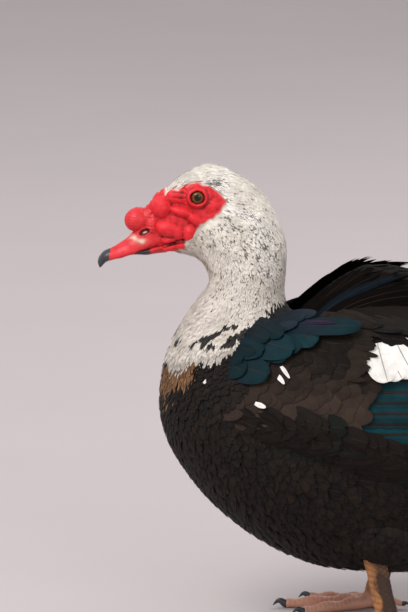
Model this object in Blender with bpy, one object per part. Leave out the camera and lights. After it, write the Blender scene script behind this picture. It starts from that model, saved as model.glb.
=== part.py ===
"""A life-size muscovy drake, standing with its neck drawn back and its back feathers raised.

The frame is +Z up with the bird facing -Y. The origin is on the floor, in the middle of the bird's length
and width. Sizes are in millimetres here and become metres when a mesh is made.
"""

import math
from collections import namedtuple

import bmesh
import bpy
import numpy as np
from mathutils import Vector

MM = 0.001
SEAM = 0.3
HALF_LENGTH = 313.0
# Heights below are measured from a level this far above the floor, and every part is raised by it
# at the end.
FLOOR = -14.0
LEFT, RIGHT = 1, -1
SIDE_NAMES = {LEFT: "left", RIGHT: "right"}

# The body is one loft. Each section has its back point and its belly point on the middle plane (y, z), its
# half width, and how far down from the back it is widest.
Section = namedtuple("Section", "back_y back_z belly_y belly_z half_width widest")
FACE = (
    Section(-262, 379, -260, 331, 14.0, 0.52),
    Section(-252, 390, -246, 331, 17.5, 0.55),
    Section(-232, 406, -229, 328, 21.5, 0.56),
    Section(-209, 412, -219, 322, 25.0, 0.58),
    Section(-184, 402, -214, 314, 28.0, 0.60),
)
NAPE = (
    Section(-163, 385, -212, 307, 29.5, 0.58),
    Section(-150, 363, -213, 301, 30.5, 0.55),
    Section(-142, 339, -217, 295, 31.0, 0.52),
    Section(-142, 316, -223, 288, 32.5, 0.50),
    Section(-143, 297, -231, 277, 36.0, 0.50),
    Section(-141, 284, -240, 262, 43.0, 0.52),
    Section(-136, 277, -250, 242, 55.0, 0.54),
)
TRUNK = (
    Section(-128, 275, -256, 215, 68.0, 0.54),
    Section(-119, 276, -257, 183, 80.0, 0.52),
    Section(-110, 277, -246, 149, 89.0, 0.50),
    Section(-98, 278, -218, 109, 96.0, 0.48),
    Section(-83, 278, -184, 78, 101.0, 0.47),
    Section(-64, 278, -147, 55, 104.0, 0.46),
    Section(-42, 277, -109, 41, 105.0, 0.46),
    Section(-15, 274, -66, 36, 104.0, 0.45),
    Section(16, 269, -22, 36, 101.0, 0.44),
    Section(51, 262, 24, 44, 94.0, 0.43),
    Section(86, 253, 66, 64, 83.0, 0.42),
    Section(118, 243, 103, 95, 67.0, 0.42),
    Section(146, 232, 134, 132, 49.0, 0.42),
)
RUMP = (
    Section(172, 221, 162, 153, 42.0, 0.42),
    Section(198, 211, 191, 170, 36.0, 0.45),
    Section(224, 202, 220, 182, 31.0, 0.45),
)
RING_SIDES = 20

# The bill is two lofts of the same kind, from the face forward, with the nail on the tip.
BILL = (
    Section(-262.3, 371, -260.3, 336, 13.4, 0.75),
    Section(-274, 358, -269, 334, 13.0, 0.80),
    Section(-286, 345, -281, 330.5, 13.6, 0.80),
    Section(-296, 338, -293, 326.5, 12.8, 0.78),
    Section(-302, 334.5, -300, 324.5, 9.6, 0.68),
)
NAIL = (
    Section(-302.4, 334.3, -300.4, 324.3, 9.0, 0.60),
    Section(-308, 331.5, -306, 322, 7.6, 0.58),
    Section(-312, 326.5, -309, 318.5, 5.6, 0.50),
    Section(-HALF_LENGTH, 321.5, -311, 317.0, 3.4, 0.50),
)
LOWER_BILL = (
    Section(-260.3, 335.4, -260.1, 329.5, 12.0, 0.35),
    Section(-269, 333.4, -268, 327.0, 12.4, 0.35),
    Section(-281, 329.9, -280, 325.2, 12.2, 0.35),
    Section(-293, 325.9, -292.5, 322.6, 10.8, 0.35),
    Section(-299, 323.9, -298.5, 321.8, 7.6, 0.35),
)

# Red skin: (x, y, z) of each bulb's centre, its three half sizes, and its tilt down towards the bill, in
# degrees. Those off the middle plane are made on both sides.
Bulb = namedtuple("Bulb", "x y z along across up tilt")
KNOB = (
    Bulb(0, -276.7, 361.3, 12.4, 12.4, 11.0, 20),
    Bulb(0, -265.0, 364.5, 10.0, 11.0, 10.0, 0),
)
CARUNCLES = (
    Bulb(11.0, -239.0, 363.0, 25.0, 12.6, 20.0, -12),
    Bulb(12.0, -254.0, 374.5, 10.0, 9.2, 10.0, 10),
    Bulb(14.5, -248.0, 355.5, 13.5, 9.2, 9.4, -4),
    Bulb(19.0, -230.0, 353.0, 6.8, 8.0, 8.6, -10),
    Bulb(18.5, -230.5, 369.5, 14.0, 8.4, 6.6, -22),
    Bulb(14.0, -221.5, 384.0, 17.0, 12.6, 14.0, 0),
    Bulb(15.0, -242.0, 384.0, 8.4, 7.0, 8.0, 0),
    Bulb(15.0, -237.5, 341.5, 8.0, 6.4, 4.8, 8),
)
BROW_BUMPS = ((-264.5, 373.0, 5.0), (-259.5, 379.5, 4.4), (-254.5, 385.5, 4.0), (-250.0, 389.0, 3.4))
BROW_OFFSET = 3.6
# The head's front face is flat up to this height, where the bill and its knob meet it.
FOREHEAD_Z = 372.6

EYE_CENTRE = (15.6, -222.4, 384.6)
EYE_RADIUS = 9.0
OPENING_RADIUS = 6.2
LID_RADIUS, LID_THICKNESS = 7.2, 1.5
LID_X = 24.6
NOSTRIL = (9.5, -271.0, 351.5)
NOSTRIL_HALF_SIZES = (6.0, 3.6, 2.2)

# Legs and feet. The left hock is in front of its ankle and the right one behind it.
Leg = namedtuple("Leg", "side hock_y ankle_y toe_turn")
LEGS = (Leg(LEFT, -66.0, -50.0, 8.0), Leg(RIGHT, -38.0, -56.0, -2.0))
LEG_X, HOCK_Z, ANKLE_TOP = 54.0, 78.0, FLOOR + 17.0
LEG_TOP_Z = 104.0
THIGH_HALF_SIZES = (31.0, 44.0, 38.0)
THIGH_X, THIGH_BEHIND_HOCK, THIGH_Z, THIGH_TILT = LEG_X + 3.0, 14.0, 93.0, -14.0
TOES = (("inner", -26.0, 66.0, 6.2), ("middle", -2.0, 84.0, 6.6), ("outer", 21.0, 74.0, 6.2))
ANKLE_HEIGHT = 9.0
HIND_TOE_LENGTH, HIND_TOE_RADIUS = 17.0, 4.2
WEB_HEIGHTS = (7.0, 3.0)
CLAW_LENGTH = 12.0

# The raised back feathers: the height of their outline along y, and their half width at the foot of it.
CREST_LINE = (
    (-150, 262), (-129, 284), (-108, 303), (-88, 318), (-68, 327),
    (-43, 326), (-10, 315), (40, 291), (110, 262),
)
CREST_FOOT_Z, CREST_HALF_WIDTH, CREST_TOP_X = 255.0, 58.0, 13.0

# The folded wing's outer face: half width of the bird, its highest line and its lower edge along y.
WING_STATIONS = (-212.0, -165.0, -110.0, -50.0, 20.0, 80.0, 120.0)
WING_HALF_WIDTHS = (80.0, 100.0, 113.0, 118.0, 111.0, 93.0, 76.0)
WING_RIDGES = (243.0, 272.0, 293.0, 298.0, 289.0, 272.0, 256.0)
WING_LOWER_EDGES = (205.0, 196.0, 182.0, 166.0, 160.0, 174.0, 194.0)
WING_WIDEST_Z = 172.0
RIDGE_X = 34.0
STATION_STEPS = 6

# Rows of large wing feathers over (y, z), the lowest first: primaries, secondaries, tertials, greater, lesser
# and median coverts, then the front and the rear shoulder feathers.
FEATHER_STEP = 0.45
Row = namedtuple("Row", "count roots tips width lifts depths droop stations blunt")
WING_ROWS = (
    Row(4, ((20, 186), (34, 206)), ((118, 190), (184, 222)), 30, (-4.5, -0.5), (4, 1.2), 4, 5, 0.2),
    Row(5, ((-96, 180), (-60, 228)), ((62, 172), (86, 228)), 29, (-2.0, 0.9), (5, 1.6), 2, 4, 0.4),
    Row(3, ((-70, 238), (-52, 262)), ((112, 228), (94, 254)), 34, (-1.5, 2.4), (6, 1.4), 6, 5, 0.3),
    Row(5, ((-150, 188), (-100, 232)), ((-84, 174), (-36, 224)), 31, (-2, 1.9), (5, 2.6), 0, 4, 0.4),
    Row(4, ((-196, 206), (-136, 240)), ((-138, 192), (-84, 228)), 38, (-2, 2.2), (5, 2.8), 0, 4, 0.4),
    Row(4, ((-118, 228), (-92, 254)), ((-52, 224), (-22, 252)), 30, (-1.4, 3.0), (6, 3.2), 0, 4, 0.4),
    Row(4, ((-202, 240), (-152, 266)), ((-166, 221), (-124, 250)), 34, (-1.0, 3.4), (6, 3.2), 0, 4, 0.45),
    Row(3, ((-166, 256), (-134, 272)), ((-112, 244), (-72, 264)), 32, (-1.0, 4.6), (6, 3.0), 4, 4, 0.45),
)

# The tail: its quills, then its two rows of coverts as count, root y, tip y, half spreads and lift.
QUILL_COUNT, QUILL_ROOT_Y, QUILL_BEND_Y = 12, 166.0, 230.0
QUILL_SPREADS = (24.0, 42.0, 64.0)
TAIL_ROUNDING = 0.5
TAIL_COVERTS = ((5, 158, 232, 18, 30, 2.5), (4, 148, 204, 14, 22, 6.0))


def spline(rows, steps):
    """Points on a smooth curve through rows, with this many steps from each row to the next."""
    rows = np.array(rows, float)
    ends = np.vstack([2 * rows[0] - rows[1], rows, 2 * rows[-1] - rows[-2]])
    made = []
    for i in range(len(rows) - 1):
        a, b, c, d = ends[i : i + 4]
        square, cube = 2 * a - 5 * b + 4 * c - d, 3 * b - a - 3 * c + d
        for t in np.arange(steps) / steps:
            made.append(0.5 * (2 * b + (c - a) * t + square * t**2 + cube * t**3))
    return np.array(made + [rows[-1]])


def ring(section, sides=RING_SIDES, grow=0.0):
    """The closed outline of one section, as (x, y, z) rows, grown outwards by this much."""
    s = Section(*section)
    back, belly = np.array([s.back_y, s.back_z]), np.array([s.belly_y, s.belly_z])
    down = (belly - back) / np.linalg.norm(belly - back)
    back, belly = back - down * grow, belly + down * grow
    points = []
    for k in range(sides):
        angle = 2 * math.pi * k / sides
        depth = s.widest - math.cos(angle) * (s.widest if math.cos(angle) > 0 else 1 - s.widest)
        y, z = back + (belly - back) * depth
        points.append(((s.half_width + grow) * math.sin(angle), y, z))
    return np.array(points)


def pushed(section, distance):
    """The section moved towards the tail by this distance, square to its own plane."""
    s = Section(*section)
    along = np.array([-(s.belly_z - s.back_z), s.belly_y - s.back_y])
    y, z = along / np.linalg.norm(along) * distance
    return Section(s.back_y + y, s.back_z + z, s.belly_y + y, s.belly_z + z, *s[4:])


BODY_ROWS = spline(FACE + NAPE + TRUNK + RUMP, 2)
HEAD_END = 2 * len(FACE)
NECK_END = 2 * (len(FACE) + len(NAPE) - 1)
TRUNK_END = 2 * (len(FACE) + len(NAPE) + len(TRUNK) - 1)


def mesh_object(name, points, faces):
    """An object with this mesh, its points given in millimetres."""
    mesh = bpy.data.meshes.new(name)
    mesh.from_pydata([tuple(p) for p in np.array(points) * MM], [], faces)
    mesh.update()
    made = bpy.data.objects.new(name, mesh)
    bpy.context.scene.collection.objects.link(made)
    return made


def loft(name, rings):
    """A closed body through rings of equal numbers of points, with a flat face at each end."""
    sides = len(rings[0])
    faces = []
    for i in range(len(rings) - 1):
        for k in range(sides):
            a, b = i * sides + k, i * sides + (k + 1) % sides
            faces += [(a, b, b + sides), (a, b + sides, a + sides)]
    first = list(range(sides))
    last = [(len(rings) - 1) * sides + k for k in range(sides)]
    made = mesh_object(name, np.vstack(rings), faces + [first[::-1], last])
    facing_out(made)
    return made


def facing_out(obj):
    """Turn every face of a closed mesh outwards."""
    mesh = bmesh.new()
    mesh.from_mesh(obj.data)
    bmesh.ops.recalc_face_normals(mesh, faces=mesh.faces)
    mesh.to_mesh(obj.data)
    mesh.free()


def flesh(name, sections, grow=0.0, sides=RING_SIDES):
    """A closed body through these sections, grown outwards by this much."""
    return loft(name, [ring(s, sides, grow) for s in sections])


def ball(name, centre, half_sizes, tilt=0.0, segments=12, rings=8):
    """An ellipsoid whose second half size lies along y, tipped about x by tilt degrees."""
    mesh = bmesh.new()
    bmesh.ops.create_uvsphere(mesh, u_segments=segments, v_segments=rings, radius=1.0)
    data = bpy.data.meshes.new(name)
    mesh.to_mesh(data)
    mesh.free()
    made = bpy.data.objects.new(name, data)
    bpy.context.scene.collection.objects.link(made)
    turn = math.radians(tilt)
    for vertex in data.vertices:
        x, y, z = (c * half for c, half in zip(vertex.co, half_sizes))
        y, z = y * math.cos(turn) - z * math.sin(turn), y * math.sin(turn) + z * math.cos(turn)
        vertex.co = Vector((x + centre[0], y + centre[1], z + centre[2])) * MM
    return made


def tube(name, path, radii, sides=10, flatten=1.0):
    """A closed tube through path, with this radius at each point and a cross-section flattened along x."""
    path = np.array(path, float)
    rings = []
    for i, point in enumerate(path):
        ahead = path[min(i + 1, len(path) - 1)] - path[max(i - 1, 0)]
        ahead = ahead / np.linalg.norm(ahead)
        side = np.cross(ahead, (0.0, 0.0, 1.0))
        if np.linalg.norm(side) < 0.3:
            side = np.cross(ahead, (0.0, 1.0, 0.0))
        side = side / np.linalg.norm(side)
        up = np.cross(side, ahead)
        turns = 2 * math.pi * np.arange(sides) / sides
        rings.append(
            point + radii[i] * (np.outer(np.cos(turns) * flatten, side) + np.outer(np.sin(turns), up))
        )
    return loft(name, rings)


def vane(name, place, root, bend, tip, width, lifts, depths, stations=5, blunt=0.2, camber=0.0):
    """One feather as a closed blade on a surface.

    place(u, v) gives a point and the normal there. The shaft runs from root over bend to tip, all (u, v).
    lifts and depths are the blade's height over the surface and its thickness, at root and tip.
    """
    root, bend, tip = (np.array(p, float) for p in (root, bend, tip))
    top, under = [], []
    shares = (-1, 0, 1) if camber else (-1, 1)
    for t in np.linspace(0, 1, stations):
        t = t ** 0.85
        shaft = (1 - t) ** 2 * root + 2 * t * (1 - t) * bend + t**2 * tip
        ahead = 2 * (1 - t) * (bend - root) + 2 * t * (tip - bend)
        side = np.array([-ahead[1], ahead[0]]) / np.linalg.norm(ahead)
        rounding = math.sqrt(max(0.0, 1 - (max(0.0, t - 0.62) / 0.38) ** 2))
        half = width / 2 * min(1.0, 0.5 + 0.9 * t) * max(rounding, blunt)
        lift = lifts[0] + (lifts[1] - lifts[0]) * t
        depth = depths[0] + (depths[1] - depths[0]) * t
        for share in shares:
            point, normal = place(*(shaft + side * half * share))
            crown = camber * (1 - abs(share))
            top.append(point + normal * (lift + crown))
            under.append(point + normal * (lift + crown - depth))
    count, columns = len(top), len(shares)
    faces = []
    for i in range(stations - 1):
        for k in range(columns - 1):
            a = columns * i + k
            b, c, d = a + 1, a + columns + 1, a + columns
            faces += [(a, b, c), (a, c, d)]
            faces += [(b + count, a + count, c + count), (c + count, a + count, d + count)]
        left, right = columns * i, columns * i + columns - 1
        for a, b in ((left + columns, left), (right, right + columns)):
            faces += [(a, b, b + count), (a, b + count, a + count)]
    last = columns * (stations - 1)
    for k in range(columns - 1):
        for a, b in ((k, k + 1), (last + k + 1, last + k)):
            faces += [(b, a, a + count), (b, a + count, b + count)]
    made = mesh_object(name, np.array(top + under), faces)
    facing_out(made)
    return made


def boolean(obj, operation, others, solver):
    """Applies one Boolean with every object in others, and removes them."""
    group = bpy.data.collections.new(obj.name + "_pieces")
    bpy.context.scene.collection.children.link(group)
    for other in others:
        for owner in list(other.users_collection):
            owner.objects.unlink(other)
        group.objects.link(other)
    modifier = obj.modifiers.new("join", "BOOLEAN")
    modifier.operation = operation
    modifier.solver = solver
    modifier.operand_type = "COLLECTION"
    modifier.collection = group
    graph = bpy.context.evaluated_depsgraph_get()
    made = bpy.data.meshes.new_from_object(obj.evaluated_get(graph))
    obj.modifiers.remove(modifier)
    obj.data = made
    for other in others:
        bpy.data.objects.remove(other)
    bpy.data.collections.remove(group)
    return obj


def keep_largest(obj):
    """Keeps the largest closed surface of the mesh, which fills sealed hollows and drops loose scraps."""
    mesh = bmesh.new()
    mesh.from_mesh(obj.data)
    bmesh.ops.triangulate(mesh, faces=mesh.faces)
    left = set(mesh.verts)
    islands = []
    while left:
        seed = left.pop()
        island, queue = {seed}, [seed]
        while queue:
            for edge in queue.pop().link_edges:
                for vertex in edge.verts:
                    if vertex in left:
                        left.discard(vertex)
                        island.add(vertex)
                        queue.append(vertex)
        box = [max(v.co[i] for v in island) - min(v.co[i] for v in island) for i in range(3)]
        islands.append((box[0] + box[1] + box[2], island))
    islands.sort(key=lambda pair: pair[0])
    for _, island in islands[:-1]:
        bmesh.ops.delete(mesh, geom=list(island), context="VERTS")
    mesh.to_mesh(obj.data)
    mesh.free()
    return obj


def fused(base, pieces, cutters=(), solver="EXACT"):
    """base and pieces as one closed body, less the cutters."""
    if pieces:
        boolean(base, "UNION", pieces, solver)
    if cutters:
        boolean(base, "DIFFERENCE", list(cutters), solver)
    return keep_largest(base)


def finished(obj, name, material, smooth_angle=40.0):
    """Name a finished node, set it down on the floor's level and give it its material."""
    obj.name = name
    obj.data.name = name
    for vertex in obj.data.vertices:
        vertex.co.z -= FLOOR * MM
    obj.data.materials.clear()
    obj.data.materials.append(material)
    obj.data.shade_smooth()
    obj.data.set_sharp_from_angle(angle=math.radians(smooth_angle))
    return obj


def material(name, colour, roughness, coat=0.0):
    """A plain material."""
    made = bpy.data.materials.new(name)
    made.use_nodes = True
    shader = made.node_tree.nodes["Principled BSDF"]
    shader.inputs["Base Color"].default_value = (*colour, 1.0)
    shader.inputs["Roughness"].default_value = roughness
    shader.inputs["Metallic"].default_value = 0.0
    shader.inputs["Coat Weight"].default_value = coat
    return made


def make_materials():
    """The materials by name."""
    return {
        "white_plumage": material("white_plumage", (0.72, 0.68, 0.60), 0.8),
        "dark_plumage": material("dark_plumage", (0.030, 0.024, 0.022), 0.5),
        "wing_plumage": material("wing_plumage", (0.055, 0.042, 0.036), 0.45),
        "red_skin": material("red_skin", (0.70, 0.05, 0.05), 0.35, 0.2),
        "bill_horn": material("bill_horn", (0.78, 0.12, 0.10), 0.35, 0.3),
        "nail_horn": material("nail_horn", (0.03, 0.03, 0.035), 0.3, 0.3),
        "leg_skin": material("leg_skin", (0.42, 0.22, 0.08), 0.6),
        "eye": material("eye", (0.35, 0.16, 0.03), 0.05, 1.0),
    }


def grown_body(grow):
    """The trunk and thighs grown by this much, to cut what lies against them."""
    body = flesh("grown_body", BODY_ROWS[HEAD_END:], grow)
    return fused(body, [thigh(side, grow) for side in (LEFT, RIGHT)])


def thigh(side, grow=0.0):
    """The feathered thigh above one leg, grown outwards by this much."""
    leg = LEGS[0] if side == LEFT else LEGS[1]
    centre = (side * THIGH_X, leg.hock_y + THIGH_BEHIND_HOCK, THIGH_Z)
    return ball("thigh", centre, [half + grow for half in THIGH_HALF_SIZES], THIGH_TILT, 14, 9)


def make_head(paint):
    """The head with its red swellings and lids, and the hollows for the eyes and the gape."""
    head = flesh("head", [*BODY_ROWS[:HEAD_END], pushed(BODY_ROWS[HEAD_END], -SEAM)])
    pieces, cutters = [], []
    for side in (LEFT, RIGHT):
        for b in CARUNCLES:
            fine = (11, 7) if b.along > 9.5 else (8, 6)
            pieces.append(ball("bulb", (side * b.x, b.y, b.z), (b.across, b.along, b.up), b.tilt, *fine))
        for y, z, radius in BROW_BUMPS:
            pieces.append(ball("brow", (side * BROW_OFFSET, y + side * 0.8, z), (radius,) * 3, 0, 6, 5))
        pieces.append(lid_ring(side))
        x, y, z = EYE_CENTRE
        cutters.append(ball("socket", (side * x, y, z), (EYE_RADIUS + SEAM,) * 3, 0, 14, 9))
        cutters.append(eye_opening(side))
        cutters.append(gape(side))
    cutters.append(space(FACE[0], -0.01, True, 300.0, FOREHEAD_Z))
    cutters += knob(SEAM)
    # The exact solver leaves open edges where so many round bulbs cross.
    fused(head, pieces, cutters, "MANIFOLD")
    return finished(head, "head", paint["red_skin"])


def eye_opening(side):
    """The hole between the lids, from the eyeball out."""
    x, y, z = EYE_CENTRE
    rings = []
    sides = 14
    turns = 2 * math.pi * np.arange(sides) / sides
    for distance, radius in ((4.0, OPENING_RADIUS), (16.0, OPENING_RADIUS + 0.6)):
        across = np.full(sides, side * (x + distance))
        along = y + 1.05 * radius * np.cos(turns)
        up = z + 0.96 * radius * np.sin(turns)
        rings.append(np.stack([across, along, up], axis=1))
    return loft("eye_opening", rings)


def lid_ring(side):
    """The raised rim of skin round the eye."""
    _, y, z = EYE_CENTRE
    sides, around = 6, 14
    points, faces = [], []
    for i in range(around):
        a = 2 * math.pi * i / around
        for k in range(sides):
            b = 2 * math.pi * k / sides
            radius = LID_RADIUS + LID_THICKNESS * math.cos(b)
            across = LID_X + 1.6 * LID_THICKNESS * math.sin(b)
            points.append((side * across, y + 1.05 * radius * math.cos(a), z + 0.96 * radius * math.sin(a)))
            p, q = i * sides + k, i * sides + (k + 1) % sides
            r, t = (i + 1) % around * sides + k, (i + 1) % around * sides + (k + 1) % sides
            faces += [(p, q, t), (p, t, r)]
    made = mesh_object("lid", points, faces)
    facing_out(made)
    return made


def gape(side):
    """The line of the mouth behind the bill, as a thin wedge to cut away."""
    line = ((-264, 334.7), (-254, 338.2), (-246, 341.2), (-238, 343.3), (-232, 343.6))
    inner, outer = 9.0, 30.0
    points = []
    for y, z in line:
        open_by = 0.55 if y < -232 else 0.2
        for x, half in ((inner, 0.15), (outer, open_by)):
            points += [(side * x, y, z - half), (side * x, y, z + half)]
    faces = []
    for i in range(len(line) - 1):
        a = 4 * i
        for p, q in ((0, 1), (1, 3), (3, 2), (2, 0)):
            faces += [(a + p, a + q, a + q + 4), (a + p, a + q + 4, a + p + 4)]
    end = 4 * (len(line) - 1)
    faces += [(0, 2, 3), (0, 3, 1), (end, end + 1, end + 3), (end, end + 3, end + 2)]
    made = mesh_object("gape", points, faces)
    facing_out(made)
    return made


def space(section, shift, towards_bill, low, high, reach=90.0):
    """The block of space on one side of a section's plane, between two heights."""
    s = Section(*section)
    slope = (s.belly_y - s.back_y) / (s.belly_z - s.back_z)
    at = [s.back_y + slope * (z - s.back_z) + shift for z in (low, high)]
    away = -reach if towards_bill else reach
    corners = []
    for x in (-reach, reach):
        corners += [(x, at[0] + away, low), (x, at[0], low), (x, at[1], high), (x, at[1] + away, high)]
    return loft("space", [np.array(corners[:4]), np.array(corners[4:])])


def knob(grow=0.0):
    """The bulbs of the knob at the base of the bill, grown outwards by this much."""
    made = []
    for b in KNOB:
        sizes = (b.across + grow, b.along + grow, b.up + grow)
        made.append(ball("knob", (b.x, b.y, b.z), sizes, b.tilt, 12, 9))
    return made


def make_bill(paint):
    """The upper bill with its knob, the nail at its tip and the lower bill."""
    upper = loft("bill_upper", [ring(s, 18) for s in spline(BILL, 2)])
    cutters = [nostril(side) for side in (LEFT, RIGHT)]
    cutters.append(space(FACE[0], -0.01 - SEAM, False, 300.0, 400.0))
    fused(upper, knob(), cutters)
    finished(upper, "bill_upper", paint["bill_horn"])
    nail = loft("nail", [ring(s, 12) for s in spline(NAIL, 1)])
    finished(nail, "bill_nail", paint["nail_horn"])
    lower = loft("bill_lower", [ring(s, 12) for s in spline(LOWER_BILL, 1)])
    finished(lower, "bill_lower", paint["bill_horn"])


def nostril(side):
    """The space cut out of the bill for one nostril."""
    x, y, z = NOSTRIL
    across, along, up = NOSTRIL_HALF_SIZES
    return ball("nostril", (side * (x + 2.5), y, z), (across, along, up), 28, 8, 6)


def make_eyes(paint):
    """The two eyeballs."""
    for side in (LEFT, RIGHT):
        x, y, z = EYE_CENTRE
        eye = ball("eye", (side * x, y, z), (EYE_RADIUS,) * 3, 0, 14, 9)
        finished(eye, "eye_" + SIDE_NAMES[side], paint["eye"])


def make_neck(paint):
    """The neck, from the head to the shoulders."""
    neck = flesh("neck", BODY_ROWS[HEAD_END : NECK_END + 1])
    finished(neck, "neck", paint["white_plumage"])


def make_torso(paint):
    """The trunk with both feathered thighs, up to the tail."""
    torso = flesh("torso", [pushed(BODY_ROWS[NECK_END], SEAM), *BODY_ROWS[NECK_END + 1 : TRUNK_END + 1]])
    fused(torso, [thigh(LEFT), thigh(RIGHT)])
    finished(torso, "torso", paint["dark_plumage"])


STATION_SIZES = list(zip(WING_STATIONS, WING_HALF_WIDTHS, WING_RIDGES, WING_LOWER_EDGES))
SMOOTH_STATIONS = spline(STATION_SIZES, STATION_STEPS)


def wing_face(side):
    """The folded wing's outer face as a function that gives a point and a normal for (y, z)."""

    def across(y, z):
        half_width, ridge, _ = wing_sizes(y)
        reach = (ridge - WING_WIDEST_Z) / math.sqrt(1 - (RIDGE_X / half_width) ** 2)
        share = (z - WING_WIDEST_Z) / (reach if z > WING_WIDEST_Z else reach * 1.4)
        inside = 1 - share**2
        floor = 0.02
        return half_width * math.sqrt(max(inside, floor)) - 30.0 * max(0.0, floor - inside)

    def place(y, z):
        step = 1.5
        x = across(y, z)
        slope_y = (across(y + step, z) - across(y - step, z)) / (2 * step)
        slope_z = (across(y, z + step) - across(y, z - step)) / (2 * step)
        normal = np.array([1.0, -slope_y, -slope_z])
        normal[1:] = np.clip(normal[1:], -2.2, 2.2)
        normal = normal / np.linalg.norm(normal)
        return np.array([side * x, y, z]), normal * (side, 1, 1)

    return place


def wing_sizes(y):
    """The wing's half width, ridge height and lower edge at y, carried straight on past the last station."""
    ys = SMOOTH_STATIONS[:, 0]
    past = max(0.0, y - ys[-1]) / (ys[-1] - ys[-1 - STATION_STEPS])
    made = []
    for sizes in SMOOTH_STATIONS[:, 1:].T:
        made.append(float(np.interp(y, ys, sizes) + past * (sizes[-1] - sizes[-1 - STATION_STEPS])))
    return made


def wing_core(side):
    """The body of the folded wing, which its feathers are set on."""
    place = wing_face(side)
    rings = []
    for y in np.linspace(WING_STATIONS[0] + 6, WING_STATIONS[-1] - 6, 12):
        _, top, under = wing_sizes(y)
        low, ridge = under + 4, top - 3
        outer = []
        for z in np.linspace(low, ridge, 7):
            point, normal = place(y, z)
            outer.append(point - normal * 2.0)
        taper = min(1.0, (y - WING_STATIONS[0] + 20) / 60)
        inner = [
            (side * (RIDGE_X - 20), y, ridge - 16),
            (side * 14, y, ridge - 50),
            (side * 50, y, (low + ridge) / 2),
            (side * (abs(outer[0][0]) - 22 * taper - 8), y, low + 6),
        ]
        rings.append(np.array(outer + inner))
    return loft("wing_" + SIDE_NAMES[side], rings)


def feather_row(row, place):
    """A row of vanes whose roots and tips run evenly along two lines, each overlapping the one before."""
    made = []
    for i in range(row.count):
        share = i / max(1, row.count - 1)
        root = np.array(row.roots[0]) * (1 - share) + np.array(row.roots[1]) * share
        tip = np.array(row.tips[0]) * (1 - share) + np.array(row.tips[1]) * share
        bend = (root + tip) / 2 + np.array([0.0, row.droop])
        step = FEATHER_STEP * (i % 2)
        lifts = (row.lifts[0] + step, row.lifts[1] + step)
        shape = (row.width, lifts, row.depths, row.stations, row.blunt)
        made.append(vane("feather", place, root, bend, tip, *shape))
    return made


def make_wing(side, paint):
    """One folded wing with its rows of feathers and the shoulder feathers over it."""
    place = wing_face(side)
    pieces = []
    for row in WING_ROWS:
        pieces += feather_row(row, place)
    pieces += raised_scapulars(side)
    wing = fused(wing_core(side), pieces, [grown_body(SEAM)])
    return finished(wing, "wing_" + SIDE_NAMES[side], paint["wing_plumage"])


def raised_face(side):
    """The surface that the raised back feathers lie on, a steep roof under their outline."""
    ys, tops = zip(*CREST_LINE)

    def across(y, z):
        rise = (z - CREST_FOOT_Z) / (np.interp(y, ys, tops) - CREST_FOOT_Z)
        inside = 1 - min(max(rise, 0.0), 1.0) ** 2
        return CREST_TOP_X + (CREST_HALF_WIDTH - CREST_TOP_X) * math.sqrt(inside)

    def place(y, z):
        slope = (across(y, z + 2) - across(y, z - 2)) / 4
        normal = np.array([1.0, 0.0, -max(-1.6, slope)])
        return np.array([side * across(y, z), y, z]), normal / np.linalg.norm(normal) * (side, 1, 1)

    return place


def raised_scapulars(side):
    """The long shoulder feathers of one side, which stand up over the back."""
    place = raised_face(side)
    made = []
    count = 6
    for i in range(count):
        share = i / (count - 1)
        root = (-136 + 16 * share, 258)
        bend = (-90 + 48 * share, 346 - 70 * share)
        tip = (30 + 64 * share, 290 - 32 * share)
        lift = 1.2 * (i % 2) - 1.0
        made.append(
            vane("raised_scapular", place, root, bend, tip, 30, (lift - 1.0, lift), (3.0, 1.2), stations=6)
        )
    return made


def tail_face(y, x):
    """The tail's upper surface: level with the rump, falling a little to its edges and towards the tip."""
    fall, arch = 0.13, 0.0020
    z = 206.0 - fall * (y - 180.0) - arch * x * x
    normal = np.array([2 * arch * x, fall, 1.0])
    return np.array([x, y, z]), normal / np.linalg.norm(normal)


def make_tail(paint):
    """The tail's root with its quills and the coverts over them."""
    core = flesh("tail", [pushed(BODY_ROWS[TRUNK_END], SEAM), *BODY_ROWS[TRUNK_END + 1 :]])
    pieces = []
    root_spread, bend_spread, tip_spread = QUILL_SPREADS
    for i in range(QUILL_COUNT):
        share = 2 * i / (QUILL_COUNT - 1) - 1
        root = (QUILL_ROOT_Y, root_spread * share)
        tip = (HALF_LENGTH + TAIL_ROUNDING - 40.0 * share**2, tip_spread * share)
        bend = (QUILL_BEND_Y, bend_spread * share)
        under = abs(i - (QUILL_COUNT - 1) / 2) - (0.25 if i < QUILL_COUNT / 2 else 0.0)
        level = -1.5 - 1.3 * under
        pieces.append(vane("rectrix", tail_face, root, bend, tip, 30, (level - 1.0, level), (3.0, 1.2), 5))
    for count, root_y, tip_y, half_root, half_tip, lift in TAIL_COVERTS:
        for i in range(count):
            share = 2 * i / (count - 1) - 1
            root = (root_y, half_root * share)
            tip = (tip_y - 10 * share**2, half_tip * share)
            bend = ((root[0] + tip[0]) / 2, (root[1] + tip[1]) / 2)
            level = lift - 1.2 * abs(share) + 0.4 * (i % 2)
            lifts = (level - 6, level)
            pieces.append(vane("covert", tail_face, root, bend, tip, 26, lifts, (5.0, 1.6), 4))
    trunk_side = space(pushed(TRUNK[-1], SEAM), 0.0, True, 90.0, 300.0)
    return finished(fused(core, pieces, [trunk_side]), "tail", paint["dark_plumage"])


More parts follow.
